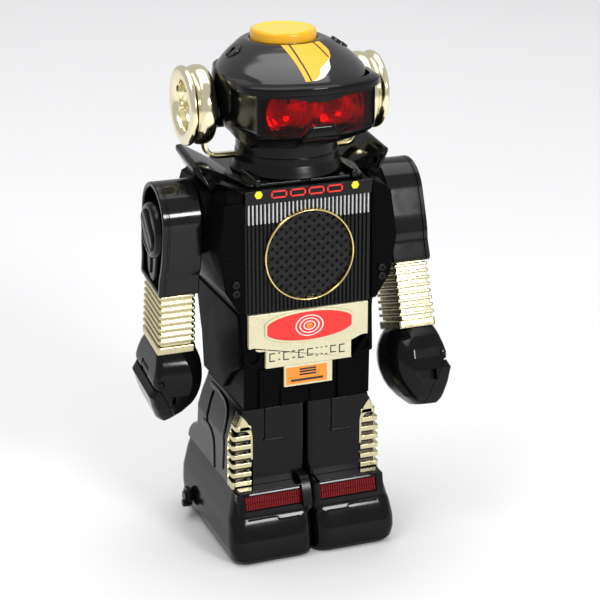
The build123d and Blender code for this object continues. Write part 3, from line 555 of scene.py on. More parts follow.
def dome_point(x, z, lift):
    """A point on the front of the dome, lifted off it."""
    table = spline(DOME, 6)
    for low, high in zip(table, table[1:]):
        if low[0] <= z <= high[0]:
            t = (z - low[0]) / (high[0] - low[0])
            a, cy, b = (low[i] * (1 - t) + high[i] * t for i in (1, 2, 3))
            break
    point = Vector((x, cy - b * sqrt(max(0.0, 1 - (x / a) ** 2)), z))
    outward = (point - Vector((0, -6, 222))).normalized()
    return point + outward * lift


def dome_shell():
    outer = [ellipse_ring(*row) for row in spline(DOME, 4)]
    inner = [ellipse_ring(z, a - 2, cy, b - 2) for z, a, cy, b in spline(DOME[:-2], 3)]
    well = [circle_ring(WELL_R + 0.7, 251.5), circle_ring(WELL_R + 0.15, 251.3), circle_ring(WELL_R, 250.9),
            circle_ring(WELL_R, WELL_FLOOR), circle_ring(4.15, WELL_FLOOR),
            circle_ring(4.15, WELL_FLOOR - WELL_THICK), circle_ring(18.4, WELL_FLOOR - WELL_THICK)]
    return skin(outer + well + inner[::-1], closed_rows=True)


def lug():
    """Round lug on the side of the dome with a square recess."""
    disc = lathe(soft_profile([(0, -3.2), (4.9, -3.2), (4.5, 1.5), (3.0, 1.5), (0, 1.5)], 0.5), (0, 0, 0))
    boolean(disc, slab(-1.5, 1.5, -1.5, 1.5, 0.4, 3, 0.1, 0.3, "z"))
    arm = slab(-4.4, -1.2, -0.55, 0.55, 1.2, 2.0, 0.2, 0.2, "z")
    piece = join([disc, arm])
    piece.data.transform(Matrix.Translation((-26.0, -5.0, 247.0)) @ Matrix.Rotation(radians(-38), 4, "Y"))
    return piece


def skull_shell():
    outer = [ellipse_ring(*row) for row in spline(SKULL, 4)]
    inner = [ellipse_ring(z, a - 2, cy, b - 2) for z, a, cy, b in spline(SKULL[1:], 3)]
    throat = [ellipse_ring(207.2, 19, -4.2, 19), ellipse_ring(205.0, 19, -4.2, 19)]
    return skin(outer + inner[::-1] + throat, closed_rows=True)


def face_ring(z, half, corner_y, nose_y, back_half, back_y, shrink=0.0):
    """Plan of the face at one height: cheeks, two soft corners and the bowed front."""
    half, corner_y, nose_y, back_half = half - shrink, corner_y + shrink, nose_y + shrink, back_half - shrink
    cheek = [(-back_half + (back_half - half) * t / 6, back_y + (corner_y - back_y) * t / 6)
             for t in range(6)]
    drop = nose_y - corner_y
    bow = [(-half + 2 * half * t / 28, corner_y + drop * (1 - (1 - t / 14) ** 2)) for t in range(29)]
    corner, start = 1.1, Vector((-half, corner_y))
    p, q = (start + (Vector(end) - start).normalized() * corner for end in (cheek[-1], bow[1]))
    left = cheek + corner_arc(p, start, q, 4)
    return [(x, y, z) for x, y in left + bow[2:-2] + [(-x, y) for x, y in reversed(left)]]


FACE_PLAN = (28.9, -44.0, -51.0, 32.4)
FACE = [(204.9, 24.8, -22.0, -29.0, 25.0, -6.0), (206.6, 25.4, -25.5, -34.0, 27.0, -7.0),
        (209.0, 26.2, -31.5, -40.2, 29.0, -8.0), (211.8, 27.2, -37.5, -45.2, 31.0, -9.0),
        (214.4, 28.2, -41.8, -48.8, 32.0, -10.0), (216.6, 28.8, -43.6, -50.6, 32.4, -10.0),
        (218.0, *FACE_PLAN, -10.0), (236.6, *FACE_PLAN, -10.0)]


def face_band(low, high, back_y, shrink):
    """Solid with the visor's plan between two heights."""
    return skin([face_ring(z, *FACE_PLAN, back_y, shrink) for z in (low, high)])


def visor_outline(grow=0.0):
    right = [(5.8 - grow * 0.6, 220.4 - grow), (9.2 - grow * 0.6, VISOR_LOW - 1.2 - grow),
             (27.4 + grow, VISOR_LOW - grow), (27.4 + grow, VISOR_TOP + grow + 0.2),
             (10.5, VISOR_TOP + grow - 0.4), (5.0, VISOR_TOP + grow - 2.2)]
    points = right + [(-x, z) for x, z in reversed(right)]
    return rounded(points, [1.2, 1.2, 1.0, 1.4, 4, 2, 2, 4, 1.4, 1.0, 1.2, 1.2], 4)


def face_frame():
    body = skin([face_ring(*row) for row in FACE])
    boolean(body, face_band(213.5, 235.4, -12.0, 2.0))
    boolean(body, soft_prism(visor_outline(), AHEAD, -40, "y", 0.05))
    rim = soft_prism(visor_outline(0.9), AHEAD, -40, "y", 0.05)
    shell = boolean(face_band(212, 237, -12.0, -0.4), face_band(211, 238, -14.0, 0.35))
    return boolean(body, boolean(rim, shell, "INTERSECT"))


def muzzle():
    """Raised nose and chin piece under the visor's notch."""
    rows = [(220.2, 5.3, -50.75), (219.2, 5.9, -51.4), (215.6, 8.8, -51.3), (213.0, 8.7, -49.0),
            (210.2, 8.2, -44.2), (207.4, 7.6, -37.6), (205.2, 7.2, -31.6)]
    rings = []
    for z, half, y in rows:
        plan = [(-half - 1.2, y + 5), (-half, y), (half, y), (half + 1.2, y + 5)]
        rings.append([(px, py, z) for px, py in rounded(plan, [0, 1.4, 1.4, 0], 4)])
    return skin(rings)


def brim():
    """Overhanging ridge above the visor, thin at its ends."""
    half = [(-35.0, -17.0), (-34.4, -28.0), (-31.6, -40.6), (-21.0, -48.6)]
    path = [Vector(p) for p in spline(half + [(0, -52.4)] + [(-x, y) for x, y in reversed(half)], 8)]
    rings = []
    for i, (p, ahead) in enumerate(zip(path, neighbours(path))):
        ahead.normalize()
        out = Vector((ahead.y, -ahead.x))
        fade = min(1.0, min(i, len(path) - 1 - i) / 9)
        depth, reach = 1.1 + 3.1 * fade, 0.3 * fade
        section = [(-4.2, 0.9), (-1.4, 0.15), (-0.5, -0.1), (reach, -0.6), (0.25 + reach, -1.2),
                   (0.1 + reach, -depth + 0.5), (-0.4, -depth), (-4.2, -depth - 0.3)]
        rings.append([(p.x + out.x * u, p.y + out.y * u, BRIM_Z + v) for u, v in section])
    return skin(rings)


def visor_lens():
    band = boolean(face_band(212, 237, -20.0, 0.55), face_band(211, 238, -10.0, 1.9))
    return boolean(band, soft_prism(visor_outline(-0.08), AHEAD, -40.5, "y", 0.02), "INTERSECT")


EYE_X, EYE_Z, EYE_FRONT, EYE_LOW, EYE_TOP = 12.6, 225.2, -42.4, 217.2, 232.9
EYE_BOWL = [(0, 6.6), (2.4, 6.4), (2.4, 5.6), (4.6, 5.0), (6.4, 4.0), (6.8, 4.25), (8.8, 2.4),
            (9.2, 2.6), (11.0, 0.3)]


def eye_bowl(side):
    """Stepped bright bowl, cut off level with the mask's top and bottom."""
    bowl = lathe(EYE_BOWL + [(11.2, 0.3), (11.2, 6.4), (0, 6.9)], (side * EYE_X, EYE_FRONT, EYE_Z), ALONG_Y)
    between = slab(-24.4, 24.4, EYE_FRONT - 1, -35.4, EYE_LOW + 0.1, EYE_TOP - 0.1, 0.1)
    return boolean(bowl, between, "INTERSECT")


def eye_rod():
    return rod(1.8, 0, 13.6, (0, -40.6, 218.2), steps=32)


def eye_mask():
    """Dark plate round the bowls."""
    body = slab(-24.6, 24.6, EYE_FRONT, -35.6, EYE_LOW, EYE_TOP, 0.3, 0.8)
    for side in (-1, 1):
        boolean(body, rod(11.3, -2.5, 8, (side * EYE_X, EYE_FRONT, EYE_Z), ALONG_Y))
    return boolean(body, slab(-2.7, 2.7, -44, -40.4, 216, 234, 0.1))


EAR, OUTWARD = (-35.9, 5, 221), (-1, 0, 0)


def ear():
    """Right ear: a double-rimmed dish with a ball on a pin and three spokes."""
    profile = spline([(0.0, 0.0), (8.5, 0.0), (14.5, 0.2), (17.4, 1.2), (18.7, 3.2), (18.9, 5.6), (18.5, 7.6),
                      (17.5, 8.8), (17.2, 9.3), (17.9, 9.9), (18.8, 11.2), (18.9, 12.4), (18.2, 13.6),
                      (16.6, 14.1), (14.2, 14.0), (12.6, 13.2), (11.7, 11.4), (11.2, 8.8), (10.2, 6.8),
                      (8.0, 5.6), (4.0, 5.1), (0.0, 5.0)], 3)
    ring = lathe([(max(r, 0), h) for r, h in profile], EAR, OUTWARD, 96)
    pin = lathe(soft_profile([(0, 4), (2.6, 4), (2.3, 6.2), (1.4, 7.0), (1.3, 11), (0, 11)], 0.4), EAR,
                OUTWARD, 32)
    ball = lathe([(2.35 * sin(pi * k / 14), 12.4 - 2.35 * cos(pi * k / 14)) for k in range(15)], EAR, OUTWARD,
                 32)
    spokes = []
    for a in turns(3):
        spoke = slab(2, 11.0, -0.7, 0.7, 5.0, 6.4, 0.3, 0.3, "z")
        spoke.data.transform(Matrix.Translation(EAR) @ Matrix.Rotation(-pi / 2, 4, "Y")
                             @ Matrix.Rotation(pi / 2 + a, 4, "Z"))
        spokes.append(spoke)
    return join([ring, pin, ball] + spokes)


def ear_boss():
    profile = soft_profile([(0, -7), (11.8, -7), (11.6, 0.2), (10.8, 1.6), (0, 1.6)], 0.8)
    return lathe(profile, (-34.2, *EAR[1:]), OUTWARD, 64)


def ear_strap():
    path = spline([(-39.0, 4, 203.6), (-38.6, 4, 200.6), (-37.6, 4, 197.8), (-35.6, 4, 196.0),
                   (-32.0, 4, 195.4), (-24.2, 4, 195.3)], 5)
    main = ribbon(path, (0, -3.1, 0), 0.75)
    bead = ribbon([(x * 0.985, y, z + 1.1) for x, y, z in path[4:]], (0, -1.6, 0), 0.5)
    return join([main, bead])


STRIPE_LEFT = [(0.0, -8.0), (0.57, -6.8), (1.0, -6.6)]
STRIPE_TORN = [(0.0, 11.5), (0.34, 13.3), (0.50, 12.0), (0.52, 11.3), (0.61, 7.7), (0.72, 3.1), (0.86, 1.3),
               (0.96, -1.5), (1.0, -4.5)]
PAPER_RIGHT = [(0.52, 11.3), (0.58, 9.9), (0.75, 8.2), (0.94, 2.6), (1.0, -2.0)]


def edge(table):
    """Edge of a sticker on the dome, as a function of s: 0 at the button and 1 at the brim."""
    return lambda s: by_height(table, s)


def dome_sheet(left, right, s0, s1, lift, rows=26, columns=8):
    """Thin sticker on the dome between two edges, each a function of s."""
    top, low = 251.25, 240.2
    upper, lower = [], []
    for i in range(rows + 1):
        s = s0 + (s1 - s0) * i / rows
        z = top + (low - top) * s ** 1.35
        for j in range(columns + 1):
            x = left(s) + (right(s) - left(s)) * j / columns
            upper.append(dome_point(x, z, lift))
            lower.append(dome_point(x, z, 0.02))
    count = len(upper)
    width = columns + 1
    faces = []
    for i in range(rows):
        for j in range(columns):
            a = i * width + j
            faces.append((a, a + 1, a + width + 1, a + width))
            faces.append(tuple(count + k for k in (a + width, a + width + 1, a + 1, a)))
    rim = [j for j in range(width)] + [i * width + columns for i in range(1, rows + 1)]
    rim += [rows * width + j for j in range(columns - 1, -1, -1)] + [i * width
                                                                     for i in range(rows - 1, 0, -1)]
    for a, b in zip(rim, rim[1:] + rim[:1]):
        faces.append((b, a, count + a, count + b))
    return make(upper + lower, faces)


def button():
    profile = [(0, 241.0), (4.0, 241.0), (4.0, 253.4), (10.5, 253.4), (10.5, 250.1), (15.3, 250.1),
               (15.8, 250.6), (15.75, 254.2), (15.4, 255.2), (14.6, 255.85), (13.6, 256.0), (12.9, 255.75),
               (12.2, 255.55), (0, 255.7)]
    return lathe(profile, (0, 0, 0), steps=112)


def spring():
    """Coil spring under the button."""
    low, high, radius, wire, coils, steps = WELL_FLOOR + 0.45, 252.95, 8.0, 0.4, 3, 32
    path = [(radius * cos(2 * pi * k / steps), radius * sin(2 * pi * k / steps),
             low + (high - low) * k / (coils * steps)) for k in range(coils * steps + 1)]
    return tube(path, wire, 10)


def neck():
    profile = soft_profile([(21, 187.6), (25.4, 187.6), (25.4, 189.9), (27.5, 190.3), (26.4, 192.6),
                            (25.2, 195.4), (24.9, 199.0), (24.5, 199.3), (24.4, 205), (21, 205)], 0.6)
    return skin([[(r * cos(a), NECK_Y + r * sin(a), z) for a in turns(112)] for r, z in profile],
                closed_rows=True)


def build_head():
    dome = join([dome_shell()] + pair(lug()))
    on_torso(dome, "dome", "black_gloss", POLISHED, "head_dome", 40)
    on_torso(skull_shell(), "skull", "black_gloss", BLACK, "head_dome")
    on_torso(join([bevel(face_frame(), 0.25, 2), muzzle(), brim()] + pair(ear_boss())), "face_frame",
             "black_gloss", BLACK, "head_face_frame", 35)
    on_torso(visor_lens(), "visor", "red_clear", RED, "visor_lens")
    bowls = join([eye_bowl(-1), eye_bowl(1), eye_rod()])
    on_torso(bowls, "reflectors", "reflector", REFLECTOR, "eye_reflector")
    on_torso(eye_mask(), "eye_mask", "reflector", SATIN, "eye_reflector")
    horn = ear()
    other = mirrored(horn)
    on_torso(horn, "right_ear", "metallised", GOLD, "right_ear_horn", 50)
    on_torso(other, "left_ear", "metallised", GOLD, "left_ear_horn", 50)
    on_torso(join(pair(ear_strap())), "ear_brackets", "metallised", GOLD, "ear_straps")
    yellow = dome_sheet(edge(STRIPE_LEFT), edge(STRIPE_TORN), 0, 1, 0.16)
    on_torso(yellow, "stripe", "sticker_yellow", STICKER_YELLOW, "dome_stripe")
    torn = dome_sheet(edge(STRIPE_TORN), edge(PAPER_RIGHT), 0.52, 0.99, 0.1, 16, 4)
    on_torso(torn, "stripe_paper", "sticker_yellow", STICKER_WHITE, "dome_stripe")
    lines = [dome_sheet(lambda s: -4.7 + 0.3 * s, lambda s: -3.8 + 0.2 * s, 0, 0.985, 0.22, 26, 1),
             dome_sheet(lambda s: 7.6 + 5.1 * s, lambda s: 8.4 + 5.1 * s, 0, 0.51, 0.22, 16, 1)]
    on_torso(join(lines), "stripe_lines", "sticker_yellow", STICKER_BLACK, "dome_stripe")
    finish_piece(button(), "button", "head_button", "yellow_gloss", YELLOW, "head_button", body_place(), 40)
    coil = on_torso(spring(), "spring", "steel", STEEL, "button_spring")
    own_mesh(coil)
    on_torso(neck(), "neck_tube", "black_satin", SATIN, "neck")


# ---- chest --------------------------------------------------------------------------
PANEL_HALF, PANEL_FRONT, PANEL_LOW, LABEL_FRONT = 31.7, -34.5, 127.0, -33.6
FIN_LOW, HEADER_LOW, DECK_Z = 171.4, 181.2, 187.6
FIN_PITCH, FIN_COUNT = 2.0, 31
EMBLEM_Z, EMBLEM_RISE, EMBLEM_HALF = 118.4, 7.2, 21.7
SPEAKER_Z, SPEAKER_R = 154.0, 22.8


def fin_places():
    return [FIN_PITCH * (place - (FIN_COUNT - 1) / 2) for place in range(FIN_COUNT)]


def speaker_hole(radius, y0, y1):
    return rod(radius, 0, y1 - y0, (0, y0, SPEAKER_Z), ALONG_Y, 112)


def chest_panel():
    back = slab(-PANEL_HALF, PANEL_HALF, PANEL_FRONT + 1.2, -32.0, PANEL_LOW, DECK_Z - 0.2, 0.25)
    header = slab(-PANEL_HALF, PANEL_HALF, PANEL_FRONT, -32.2, HEADER_LOW, DECK_Z, 0.35)
    ribs = [slab(x - 0.55, x + 0.55, PANEL_FRONT + 0.1, PANEL_FRONT + 1.6, PANEL_LOW + 0.2, FIN_LOW + 0.3,
                 0.28) for x in fin_places()]
    panel = join([back, header] + ribs)
    return boolean(panel, speaker_hole(SPEAKER_R + 0.05, -40, -31))


def chest_fins():
    bars = [slab(x - 0.38, x + 0.38, PANEL_FRONT - 0.1, PANEL_FRONT + 1.4, FIN_LOW, HEADER_LOW - 0.2, 0.25)
            for x in fin_places()]
    return boolean(join(bars), speaker_hole(SPEAKER_R + 0.05, -40, -31))


def upright_rings(profile, z, count, stretch=1.0):
    """Open ring round an axis along y, from (radius, y) points."""
    return skin([[(stretch * r * cos(a), y, z + r * sin(a)) for a in turns(count)] for r, y in profile],
                closed_rows=True)


def speaker_ring():
    r = SPEAKER_R
    profile = soft_profile([(r - 1.2, 2.4), (r - 1.2, 0.5), (r - 0.7, 0.0), (r - 0.2, 0.5),
                            (r, 1.4), (r, 2.4)], 0.3)
    return upright_rings([(radius, PANEL_FRONT - 1.6 + depth) for radius, depth in profile], SPEAKER_Z, 128)


def speaker_mesh():
    """Woven-looking grille: crossing diagonal ribs over a dark plate, swollen at each crossing."""
    radius, pitch = SPEAKER_R - 1.25, 3.3
    pieces = [speaker_hole(radius, PANEL_FRONT + 1.3, PANEL_FRONT + 1.9)]
    reach = int(radius / pitch) + 1
    for direction in (-1, 1):
        along = Vector((sqrt(0.5), 0, direction * sqrt(0.5)))
        side = Vector((-direction * sqrt(0.5), 0, sqrt(0.5)))
        for row in range(-reach, reach + 1):
            offset = (row + 0.5) * pitch
            if abs(offset) > radius - 0.8:
                continue
            half = sqrt(radius ** 2 - offset ** 2) - 0.15
            count = max(4, int(2 * half / (pitch / 4)))
            path = []
            for s in (-half + 2 * half * k / count for k in range(count + 1)):
                wave = 0.32 * cos(pi * (s / pitch - 0.5)) * direction * (1 if row % 2 else -1)
                path.append(Vector((0, PANEL_FRONT + 0.85 + wave, SPEAKER_Z)) + side * offset + along * s)
            pieces.append(ribbon(path, side * 0.98, 0.42))
    return join(pieces)


def hexagon(across, x, z):
    return [(x + across / sqrt(3) * cos(pi / 3 * k), z + across / sqrt(3) * sin(pi / 3 * k))
            for k in range(6)]


def header_marks():
    """Four plain open boxes in a row."""
    pieces = []
    half, low, high, stroke = 3.95, 183.3, 187.0, 0.75
    y0, y1 = PANEL_FRONT - 0.22, PANEL_FRONT + 0.05
    for x in (-1.1 + 9.3 * (place - 1.5) for place in range(4)):
        pieces += [slab(x - half, x + half, y0, y1, z, z + stroke, 0.05) for z in (low, high - stroke)]
        pieces += [slab(u, u + stroke, y0, y1, low, high, 0.05) for u in (x - half, x + half - stroke)]
    return join(pieces)


def badge_points():
    half = [(22.2, 98.6), (22.2, 107.6), (27.4, 107.6), (27.4, 109.6), (30.6, 109.6), (30.6, 126.7)]
    return [(-x, z) for x, z in half][::-1] + [(x, z) for x, z in half]


def badge():
    plate = soft_prism(rounded(badge_points(), 0.3, 2), PANEL_FRONT, -32.0, "y", 0.3, low_edge=0.4)
    step = slab(-22.0, 22.0, PANEL_FRONT - 0.14, -34, 108.4, 109.0, 0.05)
    return join([plate, step])


def lens_outline(rise, half, blunt=2.0):
    """Lens with short upright ends."""
    steps = 28
    upper = [(half * cos(pi * k / steps), EMBLEM_Z + blunt + (rise - blunt) * sin(pi * k / steps) ** 1.2)
             for k in range(steps + 1)]
    return upper + [(x, 2 * EMBLEM_Z - v) for x, v in reversed(upper)]


def emblem_plate(grow, proud, edge, blunt=2.0):
    return soft_prism(lens_outline(EMBLEM_RISE + grow, EMBLEM_HALF + grow, blunt), PANEL_FRONT - proud,
                      PANEL_FRONT + 0.1, "y", 0.05, low_edge=edge)


def badge_loops():
    """Plain mark for the badge: three nested open rings, white on red."""
    low, high, half = PANEL_FRONT - 0.62, PANEL_FRONT - 0.5, 0.22
    return join([upright_rings([(r - half, high), (r - half, low), (r + half, low), (r + half, high)],
                               EMBLEM_Z, 72, 1.35) for r in (2.1, 3.6, 5.1)])


def badge_ticks():
    """Row of plain dark dashes along the foot of the badge."""
    pieces, x = [], -20.4
    y0, y1 = PANEL_FRONT - 0.1, PANEL_FRONT + 0.02
    for i, width in enumerate((3.0, 1.0, 3.0, 1.6, 3.0, 3.0, 1.0, 0.8, 1.0, 3.0, 3.0)):
        z0 = 102.0 + 0.5 * (i % 2)
        pieces += [slab(x, x + width, y0, y1, z, z + 0.55, 0.03) for z in (z0, 105.8)]
        if width > 2:
            pieces.append(slab(x, x + 0.55, y0, y1, z0, 106.3, 0.03))
        x += width + 1.55
    return join(pieces)


def build_chest():
    on_torso(chest_panel(), "panel", "black_satin", SATIN, "chest_panel")
    on_torso(chest_fins(), "fins", "silver_fin", SILVER, "chest_fins")
    on_torso(speaker_ring(), "speaker_rim", "metallised", BRASS, "speaker_ring", 50)
    on_torso(speaker_mesh(), "speaker_weave", "speaker_black", GRILLE_BLACK, "speaker_grille")
    on_torso(header_marks(), "header_bars", "sticker_red", STICKER_RED, "header_sticker")
    dots = [soft_prism(hexagon(3.5, x, 185.7), PANEL_FRONT - 0.22, PANEL_FRONT + 0.05, "y", 0.05)
            for x in (-25.2, 23.1)]
    on_torso(join(dots), "header_hexagons", "sticker_red", HEX_YELLOW, "header_sticker")
    on_torso(badge(), "badge", "metallised", BADGE_GOLD, "badge_plate")
    border = emblem_plate(1.0, 0.8, 0.3, 2.8)
    boolean(border, soft_prism(lens_outline(EMBLEM_RISE, EMBLEM_HALF), PANEL_FRONT - 3,
                               PANEL_FRONT + 3, "y", 0.05))
    on_torso(border, "emblem_border", "metallised", BADGE_GOLD, "badge_emblem")
    on_torso(emblem_plate(0.0, 0.5, 0.2), "emblem", "sticker_red", STICKER_RED, "badge_emblem")
    on_torso(badge_loops(), "emblem_rings", "sticker_red", STICKER_WHITE, "badge_emblem")
    heart = rod(1.5, 0, 0.2, (0, PANEL_FRONT - 0.66, EMBLEM_Z), ALONG_Y, 32)
    on_torso(heart, "emblem_dot", "sticker_red", STICKER_ORANGE, "badge_emblem")
    on_torso(badge_ticks(), "badge_dashes", "metallised", STICKER_BLACK, "badge_plate")
    label = slab(-12.5, 12.5, LABEL_FRONT, -32.0, 87.4, 98.2, 0.3, 0.4)
    on_torso(label, "label_frame", "sticker_orange", BADGE_GOLD, "badge_label")
    print_area = slab(-11.4, 9.6, LABEL_FRONT - 0.12, LABEL_FRONT + 0.1, 88.5, 97.2, 0.04)
    on_torso(print_area, "label_print", "sticker_orange", STICKER_ORANGE, "badge_label")
    y0, y1 = LABEL_FRONT - 0.22, LABEL_FRONT - 0.1
    marks = [slab(-4.6, 4.0, y0, y1, z, z + 0.85, 0.04) for z in (92.6, 94.1, 95.4)]
    marks.append(slab(-9.0, 7.6, y0, y1, 89.8, 90.9, 0.04))
    on_torso(join(marks), "label_bars", "sticker_orange", STICKER_BLACK, "badge_label")


# ---- torso --------------------------------------------------------------------------
TORSO_FRONT, PELVIS_LOW = -32.0, 78.0


def refined(node, width):
    """A copy of a CAD node's mesh in drawing units, welded, with its hard edges rounded."""
    obj = linked("draft", frame["nodes"][node].data.copy())
    obj.data.transform(body_place().inverted())
    work = bmesh.new()
    work.from_mesh(obj.data)
    bmesh.ops.remove_doubles(work, verts=work.verts, dist=0.003)
    bmesh.ops.dissolve_limit(work, angle_limit=radians(0.8), verts=work.verts, edges=work.edges)
    bmesh.ops.recalc_face_normals(work, faces=work.faces)
    work.to_mesh(obj.data)
    work.free()
    obj.data.materials.clear()
    return bevel(obj, width, 2, 28)


def torso_trim():
    """Raised pelvis panels, cups, waist lines and shoulder cheeks on the front."""
    def plate(points, radius, proud, back, edge):
        return soft_prism(rounded(points, radius, 3), TORSO_FRONT - proud, TORSO_FRONT + back, "y",
                          0.3, low_edge=edge)

    cheek = [(32.2, 182.2), (41.2, 181.8), (44.6, 159), (41.7, 140), (34.8, 128.2), (32.2, 128.2)]
    lower = [(32.4, 157.0), (44.0, 157.0), (41.4, 140.2), (34.9, 128.6), (32.4, 128.6)]
    cup = soft_profile([(0, 0), (4.7, 0), (4.6, 2.9), (3.2, 2.9), (2.9, 0.8), (0, 0.6)], 0.5)
    left = [slab(15.5, 25.0, TORSO_FRONT - 1.5, TORSO_FRONT + 1, PELVIS_LOW, 97.6, 0.45, 0.6),
            slab(1.2, 14.0, TORSO_FRONT - 0.5, TORSO_FRONT + 1, PELVIS_LOW, 86.0, 0.3, 0.5),
            slab(29.6, 32.8, TORSO_FRONT - 1.0, TORSO_FRONT + 1, 100.5, 110.5, 0.4, 0.5),
            lathe(cup, (28.3, TORSO_FRONT + 0.4, 104.6), (0, -1, 0), 40),
            plate(cheek, 0.8, 2.3, 0.5, 0.7), plate(lower, 0.6, 2.9, 0.0, 0.5)]
    return join(pair(join(left)))


def bolt(x, z):
    head = soft_prism(rounded(hexagon(3.8, x, z), 0.3, 2), TORSO_FRONT - 4.1, TORSO_FRONT - 2.7, "y", 0.2,
                      low_edge=0.35)
    return boolean(head, rod(0.75, 0, 0.9, (x, TORSO_FRONT - 4.3, z), ALONG_Y, 24))


def hull(points, edge, segments=3):
    work = bmesh.new()
    for point in points:
        work.verts.new(point)
    bmesh.ops.convex_hull(work, input=work.verts)
    loose = [v for v in work.verts if not v.link_faces]
    bmesh.ops.delete(work, geom=loose, context="VERTS")
    bmesh.ops.dissolve_limit(work, angle_limit=radians(3), verts=work.verts, edges=work.edges)
    bmesh.ops.recalc_face_normals(work, faces=work.faces)
    return bevel(draft_from(work), edge, segments, 20)


def wing():
    """Left collar wing, with a three-sided pocket and a round hole in its front."""
    body = hull([(28.8, 0, 187.8), (30.5, -9, 187.8), (29.5, 22, 187.8), (31, -10, 188.6), (29, 0, 189.6),
                 (30, 22, 189.6), (47.4, -13.0, 196.4), (46.2, 18.4, 199.2), (48.8, 17.8, 199.0),
                 (49.7, -12.4, 195.4), (49.7, -12.0, 193.6), (48.8, 17.6, 196.6), (42.4, -17.5, 184.9),
                 (42.0, 20.5, 184.9), (38, -14.5, 185.2)], 1.0)
    pocket = [(36.4, -12.2, 189.6), (46.6, -14.2, 193.4), (42.4, -16.4, 186.9)]
    out = Vector((0.15, -1.0, 0.22)).normalized()
    boolean(body, hull([Vector(p) + out * reach for reach in (3, -1.1) for p in pocket], 0.2, 1))
    return boolean(body, rod(1.7, -3, 5, (42.0, -14.0, 190.6), out, 28))


def shoulder_step():
    """Small platform beside the header on the shoulder slope."""
    return hull([(32.2, -33.4, 187.0), (33.8, -22, 187.6), (38.6, -26.5, 185.6), (40.2, -33.2, 183.0),
                 (32.2, -33.4, 181), (40.2, -33.2, 181), (33.8, -22, 183), (38.6, -26.5, 182)], 0.5, 2)


def collar_ridge():
    """Narrow ridge from the wing down to the header's corner."""
    return hull([(36.6, -13.0, 188.6), (39.6, -14.0, 187.8), (38.0, -12.0, 183.5), (31.6, -33.3, 187.9),
                 (33.0, -33.3, 187.4), (32.2, -32.8, 183.5)], 0.35, 2)


def rail():
    return slab(22.6, 25.8, -31.6, -10.5, DECK_Z, 192.4, 0.9, 1.4, "x")


def deck():
    plate = [(-29, -30), (-32.6, -12), (-32.6, 22), (-22, 30), (22, 30), (32.6, 22), (32.6, -12), (29, -30)]
    body = soft_prism(rounded(plate, 2, 3), DECK_Z, DECK_Z + 2.2, "z", 0.7)
    return boolean(body, rod(25.9, -3, 5, (0, NECK_Y, DECK_Z), steps=96))


def skirt_flap():
    """Pointed flap low on the torso's side, over the top of the leg."""
    points = [(-18.5, 92.5), (-6.2, 80.4), (8.6, 80.2), (20.4, 89.2), (28.0, 101.5), (33.0, 118.0),
              (33.0, 126.0), (-30.0, 126.0), (-31.5, 100.0)]
    return soft_prism(rounded(points, 1.2, 4), 32.0, 34.6, "x", 0.8)


def build_torso():
    shell = refined("torso_front_shell", 0.45)
    on_torso(join([shell, torso_trim()] + pair(shoulder_step())), "torso_front", "black_gloss", DULL,
             "torso_front_shell")
    on_torso(refined("torso_rear_shell", 0.45), "torso_rear", "black_satin", DULL, "torso_rear_shell")
    on_torso(join(pair(skirt_flap())), "skirt_flaps", "black_gloss", DULL, "torso_front_shell")
    bolts = [bolt(side * 37, z) for side in (-1, 1) for z in (143.3, 139.0)]
    on_torso(join(bolts), "cheek_bolts", "black_gloss", BLACK, "chest_bolts")
    on_torso(join([deck()] + pair(wing()) + pair(rail()) + pair(collar_ridge())), "collar_wings",
             "black_gloss", BLACK, "collar")
    finish_piece(refined("battery_door", 0.3), "battery_lid", "battery_door", "black_satin", SATIN,
                 "battery_door", body_place())


# ---- arms (left arm, hanging from the shoulder axis at the origin) --------------------
ARM_IN = 47.0


def shoulder_line(shrink):
    r, low, count = 18.0 - shrink, -34.8 + shrink, 44
    arc = [(-r * cos(pi * k / count), r * sin(pi * k / count)) for k in range(count + 1)]
    front = [(r, -14.0), (r - 0.9, -20.5), (r - 2.3, -24.6), (r - 2.5, low)]
    skirt = front + [(-y, z) for y, z in reversed(front)]
    return rounded(arc + skirt, [0] * (count + 1) + [3, 3, 1.2, 1.8, 1.8, 1.2, 3, 3], 4)


def shoulder_shell():
    stations = [(ARM_IN, 1.3), (ARM_IN + 0.2, 0.5), (ARM_IN + 0.8, 0.0), (62.9, 0.0), (63.3, 0.45),
                (63.9, 0.45), (64.3, 0.0), (65.9, 0.0), (66.4, 0.4), (66.5, 0.9), (66.4, 1.9),
                (65.9, 2.3), (53, 2.5)]
    rings = []
    for x, shrink in stations:
        flare = 0.8 if x > 60 else 0.0
        rings.append([(x + flare * max(0.0, (-8 - z) / 26.8), y, z) for y, z in shoulder_line(shrink)])
    hub, boss = (4, 37, ARM_IN + 1), (7, 51, 57)
    return join([skin(rings)] + [rod(*size, (0, 0, 0), ALONG_X, 40) for size in (hub, boss)])


